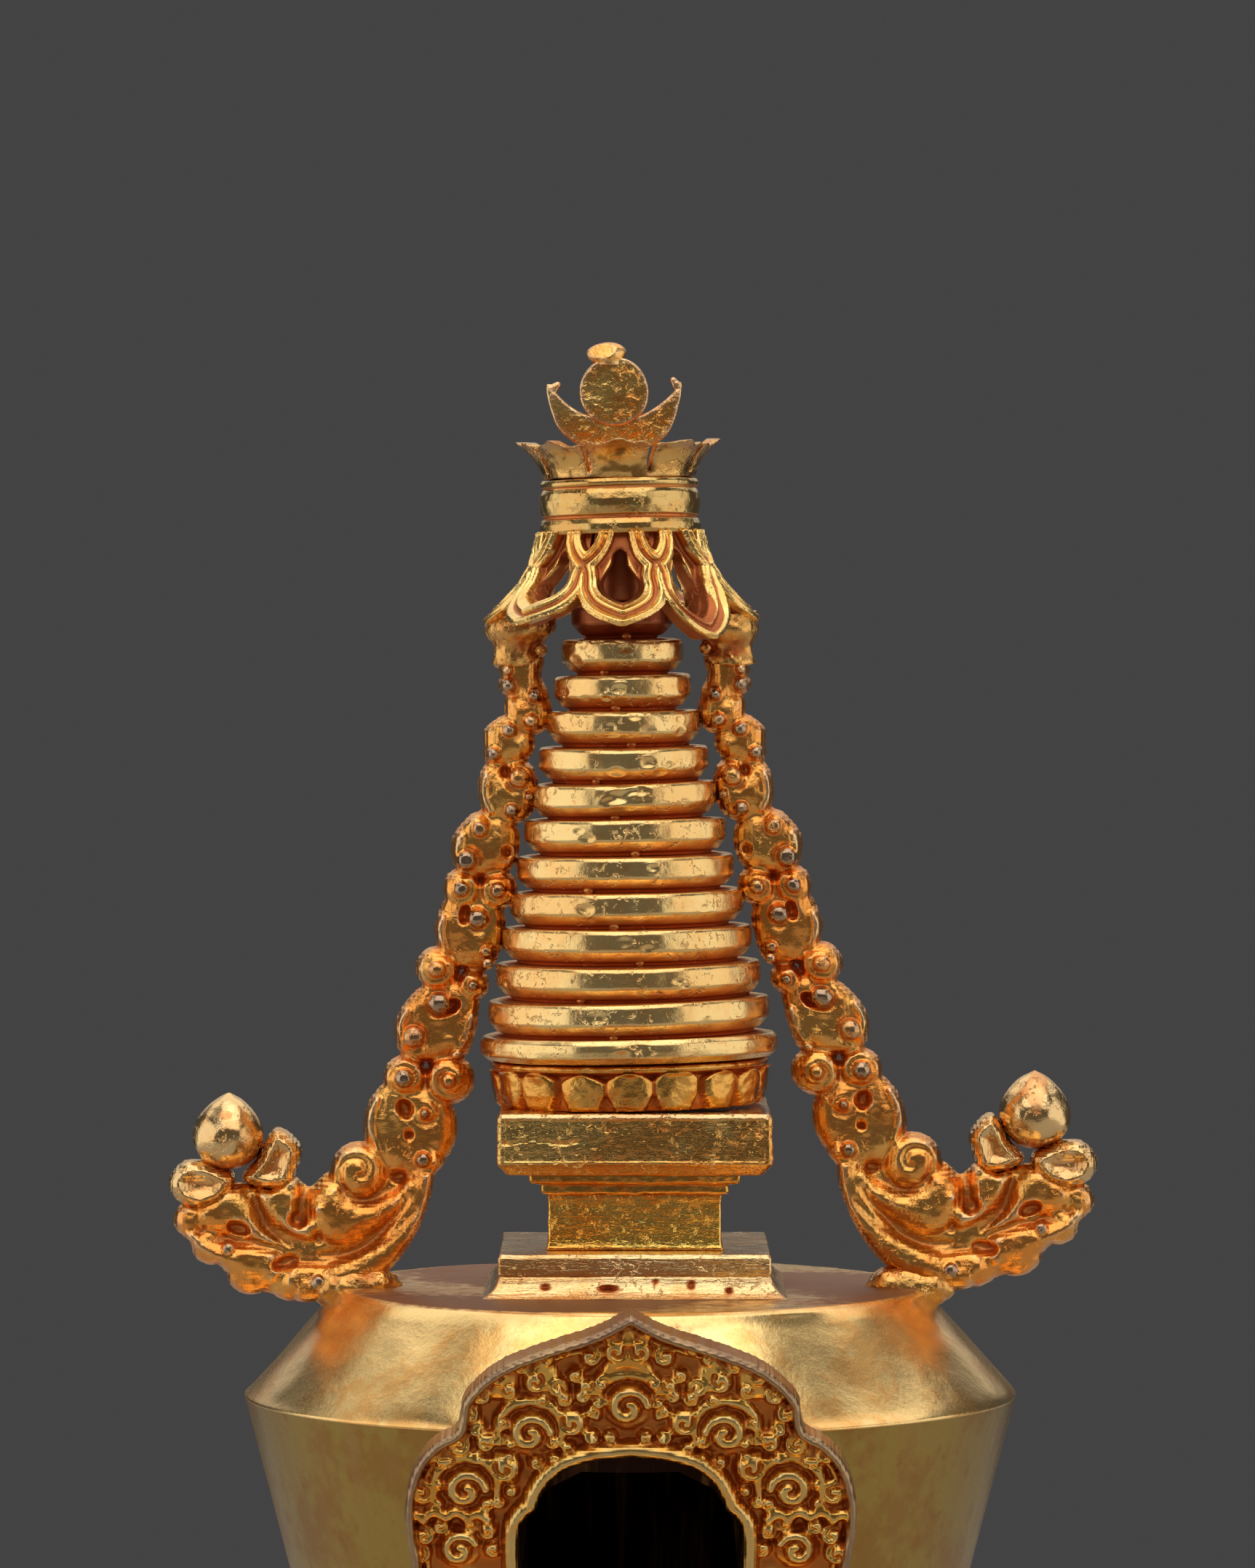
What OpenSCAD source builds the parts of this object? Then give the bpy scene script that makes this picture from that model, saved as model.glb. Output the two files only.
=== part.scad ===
// Gilt copper stupa (reliquary shrine): a square lion-throne style base, a tapered
// vase-shaped dome with an arched niche, a square harmika, thirteen wheel rings on a
// rod, a pierced canopy with a moon-and-sun finial, and two scrollwork streamers.
// +Z is up, the niche faces -Y, and the origin is at the centre of the foot's underside.

/* [Throne] */
// Half of the foot's width
foot_half = 40.5; // [38:0.5:44]
// Height of the foot
foot_h = 5.5; // [5:0.1:6]
// Half of the throne wall's width
throne_half = 33.5; // [32.5:0.5:34]
// Wall thickness of the hollow throne
throne_t = 1.4; // [1:0.1:1.8]
// Height of the throne wall
throne_h = 14; // [12:0.5:16]

/* [Steps] */
// Half width of the lowest step
step_half = 34; // [33:0.5:35]
// How far each step stands in from the one below
step_in = 3.8; // [3.4:0.1:4]
// Height of one step
step_h = 3.3; // [3:0.1:3.5]
// Half width of the opening under the dome's seat
shaft_half = 14; // [12:0.5:14]

/* [Dome] */
// Radius of the dome at its ridge, the widest place
dome_r = 25; // [24:0.25:26]
// Height of the tapered wall
dome_wall_h = 24.6; // [23:0.2:26]
// Inward taper of the wall, radius per height
dome_taper = 0.26; // [0.22:0.01:0.28]
// Radius of the flat top
dome_top_r = 18.8; // [18:0.1:19.5]
// Height of the sloping shoulder
shoulder_h = 7; // [6.5:0.1:7.5]
// Sheet thickness of the dome
sheet_t = 0.9; // [0.7:0.1:1.1]

/* [Spire] */
// Number of wheel rings
ring_count = 13; // [13]
// Radius of the topmost ring
ring_r_top = 3.45; // [3.3:0.05:3.6]
// Growth in radius from one ring to the next below
ring_grow = 0.519; // [0.49:0.005:0.54]
// Height from one ring to the next
ring_pitch = 2.325; // [2.2:0.025:2.4]
// Lean of the spire and streamers to the left, degrees
spire_lean = 1; // [0:0.1:1.2]
// Radius of the rod that the rings are threaded on
rod_r = 1; // [0.8:0.1:1.1]

/* [Streamers] */
// Thickness of each scrollwork streamer, front to back
streamer_t = 3.4; // [3:0.1:3.8]

/* [Seal plate] */
// Half width of the seal plate under the foot
plate_half = 37.2; // [37:0.1:37.2]
// Thickness of the seal plate
plate_t = 1; // [0.8:0.1:1]

/* [Hidden] */
$fn = 64;

gold = [0.83, 0.62, 0.25];
deep_gold = [0.72, 0.47, 0.18];
red_gold = [0.55, 0.29, 0.14];

// The seal plate sits this far up inside the foot's recess
plate_z = 0.5;

// Heights, from the underside of the foot up
z_mould = foot_h;
mould_h = 3.8;
z_throne = z_mould + mould_h;
z_corn = z_throne + throne_h;
corn1_h = 2.3;
corn2_h = 2.4;
z_steps = z_corn + corn1_h + corn2_h;
z_seat = z_steps + 4 * step_h;
seat_h = 2.7;
z_wall = z_seat + seat_h;
z_ridge = z_wall + dome_wall_h;
z_top = z_ridge + shoulder_h;
wall_r0 = dome_r - dome_taper * dome_wall_h;

// Harmika, sizes above the dome's flat top
har_x = 0.3;
plinth_h = 2.8;
neck_h = 3.6;
hcorn_h = 1.4;
slab_h = 4;
z_neck = z_top + plinth_h;
z_hcorn = z_neck + neck_h;
z_slab = z_hcorn + hcorn_h;
z_collar = z_slab + slab_h;
collar_h = 3.1;
z_ring13 = z_collar + collar_h;
ring13_h = 1.6;
z_cap = z_ring13 + ring13_h + (ring_count - 1) * ring_pitch;
cap_h = 4.4;
z_drum = z_cap + cap_h;
drum_h = 3.6;
z_cup = z_drum + drum_h;
bore_r = rod_r + 0.1;

function ring_r(k) = ring_r_top + (k - 1) * ring_grow;
function ring_top(k) = z_ring13 + ring13_h + (ring_count - k) * ring_pitch;

// The spire leans a little about the centre of the harmika's top
module lean() { translate([0, 0, z_collar]) rotate([0, -spire_lean, 0]) translate([0, 0, -z_collar]) children(); }

module slab(half, z, h) { translate([-half, -half, z]) cube([2 * half, 2 * half, h]); }
module frame(half, inner, z, h) {
    difference() {
        slab(half, z, h);
        slab(inner, z - 1, h + 2);
    }
}

// ---- throne ----
module foot_plinth() {
    color(gold) difference() {
        union() {
            slab(foot_half, 0, foot_h * 0.3);
            slab(foot_half - 1, foot_h * 0.3, foot_h * 0.45);
            slab(foot_half - 2, foot_h * 0.75, foot_h * 0.25);
        }
        slab(plate_half + 0.15, -1, plate_z + plate_t + 0.25 + 1);
        slab(plate_half - 1.8, -1, foot_h + 2);
    }
}
module throne_moulding() {
    color(gold) {
        difference() {
            union() {
                slab(foot_half - 4, z_mould, mould_h * 0.5);
                slab(foot_half - 5.2, z_mould + mould_h * 0.5, mould_h * 0.5);
            }
            slab(throne_half - 1.2 - throne_t, z_mould - 1, mould_h + 2);
        }
    }
}
module throne_wall() { color(deep_gold) frame(throne_half - 1.2, throne_half - 1.2 - throne_t, z_throne, throne_h); }
pillar = 3.2;
module corner_pillars() {
    color(gold) for (sx = [-1, 1], sy = [-1, 1])
        translate([sx * (throne_half + 0.6), sy * (throne_half + 0.6), z_throne])
            rotate([0, 0, sx * sy > 0 ? (sx > 0 ? 180 : 0) : (sx > 0 ? 90 : -90)])
                difference() {
                    cube([pillar, pillar, throne_h]);
                    translate([1.8, 1.8, -1]) cube([pillar, pillar, throne_h + 2]);
                }
}
module throne_panel() {
    w = throne_half + 0.6 - pillar;
    color(deep_gold) translate([-w, -throne_half, z_throne]) difference() {
        cube([2 * w, 1.2, throne_h]);
        translate([2, -1, 2]) cube([2 * w - 4, 1.4, throne_h - 4]);
    }
}
module throne_panel_front() { throne_panel(); }
module throne_panel_back() { rotate([0, 0, 180]) throne_panel(); }
module throne_panel_left() { rotate([0, 0, -90]) throne_panel(); }
module throne_panel_right() { rotate([0, 0, 90]) throne_panel(); }
module cornice_lower() {
    color(gold) difference() {
        union() {
            slab(throne_half + 1.6, z_corn, corn1_h * 0.5);
            slab(throne_half + 3, z_corn + corn1_h * 0.5, corn1_h * 0.5);
        }
        slab(throne_half - 3, z_corn - 1, corn1_h + 2);
    }
}
module cornice_upper() {
    color(gold) difference() {
        union() {
            slab(foot_half - 1.6, z_corn + corn1_h, corn2_h * 0.65);
            slab(foot_half - 3, z_corn + corn1_h + corn2_h * 0.65, corn2_h * 0.35);
        }
        slab(throne_half - 3, z_corn, corn1_h + corn2_h + 2);
    }
}
// one step: a square slab with a slightly narrower foot, open in the middle
module step(i) {
    h = step_half - (i - 1) * step_in;
    inner = i < 4 ? h - step_in - 2 : shaft_half;
    z = z_steps + (i - 1) * step_h;
    color(gold) difference() {
        union() {
            slab(h - 0.7, z, step_h * 0.55);
            slab(h, z + step_h * 0.55, step_h * 0.45);
        }
        slab(inner, z - 1, step_h + 2);
    }
}
module step_1() { step(1); }
module step_2() { step(2); }
module step_3() { step(3); }
module step_4() { step(4); }

// ---- dome ----
module dome_seat() {
    color(gold) rotate_extrude() polygon([[0, z_seat], [20.6, z_seat], [21.3, z_seat + 0.5],
        [21.3, z_seat + 1.3], [20.4, z_seat + 1.8], [20.4, z_seat + seat_h], [0, z_seat + seat_h]]);
}
module dome_cone(extra) {
    translate([0, 0, z_wall - 3]) cylinder(r1 = wall_r0 - 3 * dome_taper + extra,
        r2 = dome_r + 12 * dome_taper + extra, h = dome_wall_h + 15);
}
// the niche opening, drawn in the plane of the frame: x across, y up
lean_back = atan(dome_taper);
module niche_plane(depth) {
    translate([0, -wall_r0, z_wall]) rotate([90 + lean_back, 0, 0])
        translate([0, 0, -depth]) children();
}
module dome_wall() {
    color(gold) difference() {
        rotate_extrude() polygon([[wall_r0, z_wall], [dome_r, z_ridge], [dome_r - sheet_t, z_ridge],
            [wall_r0 - sheet_t, z_wall]]);
        niche_plane(14) linear_extrude(20) wall_hole();
    }
}
// rough opening in the wall behind the frame
module wall_hole() {
    polygon([[-6.4, 3], [6.4, 3], [6.8, 15], [6.4, 19.5], [5.2, 21.7], [3, 23],
        [-3, 23], [-5.2, 21.7], [-6.4, 19.5], [-6.8, 15]]);
}
module dome_shoulder() {
    color(gold) rotate_extrude() polygon([[bore_r + 0.35, z_top], [dome_top_r, z_top], [dome_r, z_ridge],
        [dome_r - sheet_t - 0.4, z_ridge], [dome_top_r - 0.7, z_top - sheet_t], [bore_r + 0.35, z_top - sheet_t]]);
}

// Half of the frame's outline, from the foot up to the point of the arch, in its own plane
arch_half = [[11.4, 1], [12.3, 6], [13, 11], [13.9, 17], [14.3, 19.5], [14.3, 21.6], [13.6, 23.8],
    [12.3, 25.3], [10.7, 26.2], [10.5, 28.2], [8.2, 30.2], [5.2, 31.5], [2.2, 32.5], [0.6, 33.4]];
function both(h, dx = 0, dy = 0) = concat(
    [for (p = h) [max(p[0] + dx, 0.3), p[1] + dy]],
    [for (i = [len(h) - 1:-1:0]) [-max(h[i][0] + dx, 0.3), h[i][1] + dy]]);
// Half of the opening's edge
mouth_half = [[5.6, 3.2], [6.2, 10], [6.8, 17], [6.8, 19.4], [6.4, 20.3], [5.8, 20.9], [5.5, 21.7],
    [4.9, 22.7], [3.7, 23.6], [1.9, 24.1]];
rim_w = 0.75;
mouth_w = 1.1;
frame_t = 1.8;
frame_out = 1.3;
module arch_face(inset) { polygon(both(arch_half, -inset, -inset * 0.6)); }
module mouth_face(grow) { polygon(both(mouth_half, grow, grow)); }
// everything the frame is fixed to: the wall below the ridge, the shoulder above it
module dome_body() {
    rotate_extrude() polygon([[0, z_wall - 8], [wall_r0 - 8 * dome_taper + 0.03, z_wall - 8], [dome_r + 0.03, z_ridge],
        [dome_top_r + 0.03, z_top + 0.01], [0, z_top + 0.01]]);
}
module niche_frame() {
    color(deep_gold) difference() {
        niche_plane(0) union() {
            // the carved face
            translate([0, 0, frame_out - frame_t]) linear_extrude(frame_t) difference() {
                arch_face(rim_w);
                mouth_face(mouth_w);
            }
            // a hood behind the face, back to the wall and the shoulder
            translate([0, 0, frame_out - frame_t - 7]) linear_extrude(7) difference() {
                polygon([[-11.4, 1.4], [11.4, 1.4], [13.2, 19.5], [12.6, 22.8], [9.6, 24.8], [9.3, 27.6],
                    [4.9, 30.2], [-4.9, 30.2], [-9.3, 27.6], [-9.6, 24.8], [-12.6, 22.8], [-13.2, 19.5]]);
                polygon([[-9.8, 2.6], [9.8, 2.6], [11.4, 19.5], [10.9, 21.8], [8.2, 23.4], [7.8, 26.4],
                    [4.3, 28.4], [-4.3, 28.4], [-7.8, 26.4], [-8.2, 23.4], [-10.9, 21.8], [-11.4, 19.5]]);
            }
        }
        dome_body();
    }
}
module niche_outer_rim() {
    color(gold) niche_plane(0) translate([0, 0, frame_out - frame_t]) linear_extrude(frame_t + 0.5)
        difference() {
            arch_face(0);
            arch_face(rim_w);
        }
}
module niche_inner_rim() {
    color(gold) difference() {
        niche_plane(0) translate([0, 0, frame_out - frame_t]) linear_extrude(frame_t + 0.4)
            difference() {
                mouth_face(mouth_w);
                mouth_face(0);
                translate([-20, 0]) square([40, 4.2]);
            }
        dome_body();
    }
}

// ---- harmika ----
module rod_hole(z, h, r) { translate([0, 0, z - 1]) cylinder(r = r, h = h + 2); }
module harmika_plinth() {
    color(gold) difference() {
        translate([har_x, 0, 0]) union() {
            slab(8.7, z_top + 1.3, plinth_h - 1.3);
            slab(9.1, z_top + 0.6, 0.7);
            slab(9.9, z_top, 0.6);
        }
        rod_hole(z_top, plinth_h, bore_r + 0.35);
    }
}
module harmika_neck() {
    color(deep_gold) difference() {
        translate([har_x, 0, 0]) slab(5.55, z_neck, neck_h);
        rod_hole(z_neck, neck_h, bore_r + 0.35);
    }
}
module harmika_cornice() {
    color(deep_gold) difference() {
        translate([har_x, 0, 0]) slab(6.7, z_hcorn, hcorn_h);
        rod_hole(z_hcorn, hcorn_h, bore_r + 0.35);
    }
}
module harmika_slab() {
    color(gold) difference() {
        translate([har_x, 0, 0]) union() {
            slab(8.3, z_slab, 0.4);
            slab(8.8, z_slab + 0.4, slab_h - 0.4);
        }
        rod_hole(z_slab, slab_h, bore_r + 0.35);
    }
}

// ---- spire ----
module petal_collar() {
    color(deep_gold) lean() difference() {
        rotate_extrude() polygon([[bore_r, z_collar + 0.16], [8.5, z_collar + 0.16], [8.6, z_collar + 1],
            [9.2, z_collar + 2.3], [9.1, z_collar + 2.7], [8.5, z_collar + collar_h], [bore_r, z_collar + collar_h]]);
        for (i = [0:16]) rotate([0, 0, (i + 0.5) * 360 / 17]) translate([9.6, 0, z_collar])
            cylinder(r = 0.6, h = collar_h - 0.6);
    }
}
module ring(k) {
    r = ring_r(k);
    t = ring_top(k);
    low = k == ring_count ? ring13_h : ring_pitch;
    pts = k == ring_count
        ? [[bore_r, 0], [r - 0.35, 0], [r - 0.08, -0.3], [r, -0.7], [r - 0.05, -1.3], [r - 0.4, -ring13_h], [bore_r, -ring13_h]]
        : [[bore_r, 0], [r - 0.35, 0], [r - 0.08, -0.28], [r, -0.7], [r - 0.03, -1.25], [r - 0.75, -1.95],
            [r - 1.3, -1.95], [r - 1.3, -low], [bore_r, -low]];
    color(gold) lean() rotate_extrude() polygon([for (p = pts) [p[0], t + p[1]]]);
}
module ring_01() { ring(1); }
module ring_02() { ring(2); }
module ring_03() { ring(3); }
module ring_04() { ring(4); }
module ring_05() { ring(5); }
module ring_06() { ring(6); }
module ring_07() { ring(7); }
module ring_08() { ring(8); }
module ring_09() { ring(9); }
module ring_10() { ring(10); }
module ring_11() { ring(11); }
module ring_12() { ring(12); }
module ring_13() { ring(13); }
// small solder tacks in the grooves, each between two rings
module ring_tacks() {
    color(gold) lean() for (k = [1:12], a = [0, 120, 240])
        rotate([0, 0, -90 + a + 23 * sin(k * 77)]) translate([ring_r(k) - 1.02, 0, ring_top(k + 1)])
            cylinder(r = 0.2, h = ring_pitch - 1.95, $fn = 24);
}
module spire_cap() {
    color(red_gold) lean() difference() {
        translate([0, 0, z_cap]) cylinder(r1 = 2.9, r2 = 2.5, h = cap_h);
        rod_hole(z_cap, cap_h, bore_r);
    }
}
rod_low = 71.5;
module spire_rod() { color(red_gold) lean() translate([0, 0, rod_low]) cylinder(r = rod_r, h = z_drum + 2.4 - rod_low); }
module rod_nut() {
    color(red_gold) lean() difference() {
        translate([0, 0, z_top - sheet_t - 1.66]) cylinder(r = 2.2, h = 1.6, $fn = 6);
        rod_hole(z_top - 4, 4, rod_r);
    }
}

// ---- canopy and finial ----
skirt_h = 5.6;
skirt_r = 8.75;
module canopy_skirt() {
    color(gold) lean() difference() {
        rotate_extrude() polygon([[3.4, z_drum], [5, z_drum], [5.3, z_drum - 1.2], [6.5, z_drum - 3], [skirt_r, z_drum - skirt_h],
            [skirt_r - 1.1, z_drum - skirt_h], [5.7, z_drum - 3.1], [4.5, z_drum - 1.3], [3.4, z_drum - 0.6]]);
        // scallops between the eight lobes
        for (i = [0:7]) rotate([0, 0, 22.5 + i * 45]) translate([4, 0, z_drum - skirt_h - 0.5])
            rotate([0, 90, 0]) cylinder(r = 1.7, h = 8);
        // pierced lobes
        for (i = [0:7]) rotate([0, 0, i * 45]) translate([3.6, 0, z_drum - 3.1])
            rotate([0, 90, 0]) cylinder(r = 1.15, h = 8);
    }
}
module canopy_drum() {
    color(gold) lean() difference() {
        rotate_extrude() polygon([[0, z_drum], [5.1, z_drum], [5.25, z_drum + 0.5], [5.1, z_drum + 1.05], [4.9, z_drum + 1.2],
            [5.1, z_drum + 1.35], [5.25, z_drum + 2.1], [5.1, z_drum + 2.95], [4.95, z_drum + 3.1],
            [5.1, z_drum + 3.25], [5.05, z_drum + drum_h], [0, z_drum + drum_h]]);
        translate([0, 0, z_drum - 1]) cylinder(r = rod_r, h = 3.4);
    }
}
cup_h = 2.5;
module lotus_cup() {
    color(gold) lean() difference() {
        rotate_extrude() polygon([[0, z_cup], [4.6, z_cup], [5.2, z_cup + 1], [6.5, z_cup + cup_h], [6.05, z_cup + cup_h],
            [4.8, z_cup + 1.1], [4.3, z_cup + 0.5], [0, z_cup + 0.5]]);
        for (i = [0:7]) rotate([0, 0, 22.5 + i * 45]) translate([5, -0.2, z_cup + 0.7]) cube([3, 0.4, 4]);
    }
}
moon_r = 4.35;
moon_z = z_cup + 5.8;
moon_t = 1.1;
sun_r = 2.25;
sun_z = z_cup + 5.5;
fin_x = -0.15;
module crescent_moon() {
    color(gold) lean() translate([fin_x, moon_t / 2, 0]) rotate([90, 0, 0]) linear_extrude(moon_t) difference() {
        union() {
            translate([0, moon_z]) circle(r = moon_r);
            translate([-1.7, z_cup + 0.5]) square([3.4, 2]);
        }
        translate([0, moon_z + 2.25]) circle(r = 4.02);
        translate([0, sun_z]) circle(r = sun_r + 0.02);
        translate([-6, moon_z + 0.5]) square([12, 6]);
    }
}
module sun_disc() {
    color(gold) lean() translate([fin_x, moon_t / 2 + 0.1, sun_z]) rotate([90, 0, 0]) cylinder(r = sun_r, h = moon_t + 0.2);
}
module jewel_bead() {
    color(gold) lean() difference() {
        translate([fin_x - 0.45, 0, sun_z + sun_r - 0.1]) sphere(r = 1.15);
        translate([fin_x, 4, sun_z]) rotate([90, 0, 0]) cylinder(r = sun_r, h = 8);
    }
}

// ---- streamers: a chain of round scrolls on one plate, [across, up, radius] ----
// from the canopy down to the shoulder, then out and up to the jewel
scrolls = [[6.8, 115.4, 1.25], [7, 114.3, 1.3], [6.6, 113, 1.35], [8.2, 111.5, 0.95], [8.5, 110.1, 0.95], [7.2, 110.8, 1.15],
    [8.4, 108.3, 1.25], [7.4, 108.5, 1.2], [8.2, 107.1, 1.25], [8.5, 106.1, 1.1],
    [9.9, 104.9, 1.4], [10.2, 103.4, 1.05], [8.9, 104.2, 1.25], [9.2, 103, 1.25],
    [10.9, 101.3, 1.2], [8.7, 101.3, 1.2], [9.8, 101.2, 0.8],
    [11.1, 99.1, 1.45], [9.8, 98.9, 1.45], [10.6, 97.5, 1.5], [10.1, 96.6, 1.15],
    [12.4, 96.2, 1.3], [10.2, 95.1, 0.9], [11.4, 95.5, 0.9],
    [13.2, 93.6, 1.6], [11.7, 93.1, 1.65], [14, 91.9, 1.15], [12.3, 91.7, 1.7],
    [14.8, 89, 1.6], [11.8, 88.9, 1.55], [13.3, 89.6, 1],
    [15.1, 86.5, 1.8], [13.3, 86.3, 1.9], [14.4, 84.6, 2], [13.3, 83.9, 1.55],
    [17.5, 82.9, 1.8], [15.2, 82.4, 1.4], [14.2, 81.9, 1.1],
    [15, 80.6, 1.3], [16.3, 79.2, 1.6], [18, 80.6, 1.3], [18.3, 77.9, 2], [20.6, 77.2, 2.2], [20.2, 79.4, 1.7],
    [22.9, 77.7, 2.2], [25, 78.2, 2], [27.2, 78.7, 1.7], [23.5, 79.8, 1.7], [25.4, 79.5, 1.5], [22, 81, 1.3]];
tip_x = 26.1;
tip_z = 85.45;
module scroll_shape(side) { union() for (s = scrolls) translate([side * s[0], s[1]]) circle(r = s[2]); }
module upright(t) { translate([0, t / 2, 0]) rotate([90, 0, 0]) linear_extrude(t) children(); }
// each streamer hangs a little to the right of the lean, and the right one sits higher
module hang(side) { lean() translate([0.25, 0, side > 0 ? 0.55 : 0]) children(); }
module streamer(side) {
    upright(streamer_t) difference() {
        scroll_shape(side);
        // room for the socket
        translate([side * 7 - 2.2, 116.1]) square([4.4, 3]);
    }
}
module streamer_left() { color(deep_gold) hang(-1) streamer(-1); }
module streamer_right() { color(deep_gold) hang(1) streamer(1); }
module jewel(side) {
    translate([side * tip_x, 0, tip_z]) rotate_extrude()
        polygon([[0, -2.3], [1.2, -2], [1.95, -1.2], [2.25, 0], [2.05, 1.1], [1.4, 2], [0.6, 2.5], [0, 2.7]]);
}
module jewel_left() { color(gold) hang(-1) jewel(-1); }
module jewel_right() { color(gold) hang(1) jewel(1); }
// two leaves under each jewel, and the stem between them
leaf_dots = [[28.8, 81.9, 1.25], [27.6, 82.1, 1.5], [26.6, 81.9, 1.2], [24.4, 82.5, 1.2], [23.2, 83.4, 1.5], [22.4, 83.9, 1.2],
    [25.6, 81.6, 1.1]];
module leaves(side) {
    upright(2.8) difference() {
        union() for (s = leaf_dots) translate([side * s[0], s[1]]) circle(r = s[2]);
        scroll_shape(side);
        translate([side * tip_x, tip_z - 0.1]) circle(r = 2.3);
    }
}
module jewel_leaves_left() { color(gold) hang(-1) leaves(-1); }
module jewel_leaves_right() { color(gold) hang(1) leaves(1); }
module shoulder_post(side) {
    color(red_gold) difference() {
        translate([side * 18.1, 0, z_top - 1.4]) cylinder(r1 = 3, r2 = 1.9, h = 3.2);
        dome_solid(0.02);
        hang(side) streamer(side);
    }
}
module dome_solid(extra) {
    rotate_extrude() polygon([[0, z_top + extra], [dome_top_r, z_top + extra], [dome_r + extra, z_ridge + extra],
        [wall_r0, z_wall], [0, z_wall]]);
}
module shoulder_post_left() { shoulder_post(-1); }
module shoulder_post_right() { shoulder_post(1); }
module canopy_socket(side) {
    low = side > 0 ? 116.65 : 116.1;
    color(red_gold) lean() translate([side * 7 + 0.25, 0, low]) cylinder(r1 = 1.4, r2 = 1.85, h = z_drum - skirt_h - low);
}
module canopy_socket_left() { canopy_socket(-1); }
module canopy_socket_right() { canopy_socket(1); }

// ---- seal plate ----
module seal_plate() { color(red_gold) slab(plate_half, plate_z, plate_t); }

foot_plinth();
throne_moulding();
throne_wall();
corner_pillars();
throne_panel_front();
throne_panel_back();
throne_panel_left();
throne_panel_right();
cornice_lower();
cornice_upper();
step_1();
step_2();
step_3();
step_4();
dome_seat();
dome_wall();
dome_shoulder();
niche_frame();
niche_outer_rim();
niche_inner_rim();
harmika_plinth();
harmika_neck();
harmika_cornice();
harmika_slab();
petal_collar();
ring_01();
ring_02();
ring_03();
ring_04();
ring_05();
ring_06();
ring_07();
ring_08();
ring_09();
ring_10();
ring_11();
ring_12();
ring_13();
ring_tacks();
spire_cap();
spire_rod();
rod_nut();
canopy_skirt();
canopy_drum();
lotus_cup();
crescent_moon();
sun_disc();
jewel_bead();
streamer_left();
streamer_right();
jewel_left();
jewel_right();
jewel_leaves_left();
jewel_leaves_right();
shoulder_post_left();
shoulder_post_right();
canopy_socket_left();
canopy_socket_right();
seal_plate();
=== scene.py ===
import math
import bpy
import numpy as np
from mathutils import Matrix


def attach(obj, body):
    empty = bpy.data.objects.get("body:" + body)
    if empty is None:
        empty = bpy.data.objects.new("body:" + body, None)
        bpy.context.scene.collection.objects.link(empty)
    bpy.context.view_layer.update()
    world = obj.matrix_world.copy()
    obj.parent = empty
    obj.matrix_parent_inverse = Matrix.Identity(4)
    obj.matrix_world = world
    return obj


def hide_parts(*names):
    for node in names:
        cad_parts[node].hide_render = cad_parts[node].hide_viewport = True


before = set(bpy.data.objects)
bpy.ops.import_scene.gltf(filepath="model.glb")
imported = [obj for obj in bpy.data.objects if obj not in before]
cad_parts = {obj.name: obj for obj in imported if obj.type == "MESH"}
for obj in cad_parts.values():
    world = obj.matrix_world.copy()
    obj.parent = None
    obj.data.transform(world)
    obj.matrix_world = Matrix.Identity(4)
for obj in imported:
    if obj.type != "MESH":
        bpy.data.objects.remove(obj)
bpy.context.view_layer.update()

import openvdb as vdb
from mathutils import Matrix, Vector

# Everything below is worked out in millimetres in the CAD frame and scaled once, in build().
MM = 0.001
BODY = "stupa"
LEAN = math.radians(1.0)
PIV = 87.3
Z_WALL, Z_RIDGE, Z_TOP = 43.9, 68.5, 75.5
R_RIDGE, TAPER, SHEET = 25.0, 0.26, 0.9
R_WALL0 = R_RIDGE - TAPER * (Z_RIDGE - Z_WALL)
LB = math.atan(TAPER)
HAR_X = 0.3


# ------------------------------------------------------------------ numbers
def lean(P):
    P = np.array(P, float)
    c, s = math.cos(LEAN), math.sin(LEAN)
    x, z = P[..., 0].copy(), P[..., 2] - PIV
    P[..., 0] = x * c - z * s
    P[..., 2] = PIV + x * s + z * c
    return P


def vnoise(P, scale, seed=0):
    q = np.asarray(P, np.float64) * scale + seed * 7.31
    i = np.floor(q).astype(np.int64)
    f = q - i
    f = f * f * (3 - 2 * f)
    sd = (seed * 2654435761) & 0xFFFFFFFF

    def h(dx, dy, dz):
        n = ((i[..., 0] + dx) * 73856093) ^ ((i[..., 1] + dy) * 19349663) ^ ((i[..., 2] + dz) * 83492791) ^ sd
        n = n & 0xFFFFFFFF
        n = ((n ^ (n >> 13)) * 1274126177) & 0xFFFFFFFF
        return ((n ^ (n >> 16)) & 0xFFFF) / 32767.5 - 1.0

    x, y, z = f[..., 0], f[..., 1], f[..., 2]
    a = h(0, 0, 0) * (1 - x) + h(1, 0, 0) * x
    b = h(0, 1, 0) * (1 - x) + h(1, 1, 0) * x
    c = h(0, 0, 1) * (1 - x) + h(1, 0, 1) * x
    d = h(0, 1, 1) * (1 - x) + h(1, 1, 1) * x
    return (a * (1 - y) + b * y) * (1 - z) + (c * (1 - y) + d * y) * z


def fbm(P, scale, octs=3, seed=0, gain=0.5):
    out, amp = 0.0, 1.0
    for o in range(octs):
        out = out + amp * vnoise(P, scale * 2 ** o, seed + o * 13)
        amp *= gain
    return out


def sstep(a, b, x):
    t = np.clip((x - a) / (b - a), 0, 1)
    return t * t * (3 - 2 * t)


def smin(a, b, k):
    h = np.clip(0.5 + 0.5 * (b - a) / k, 0, 1)
    return b * (1 - h) + a * h - k * h * (1 - h)


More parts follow.
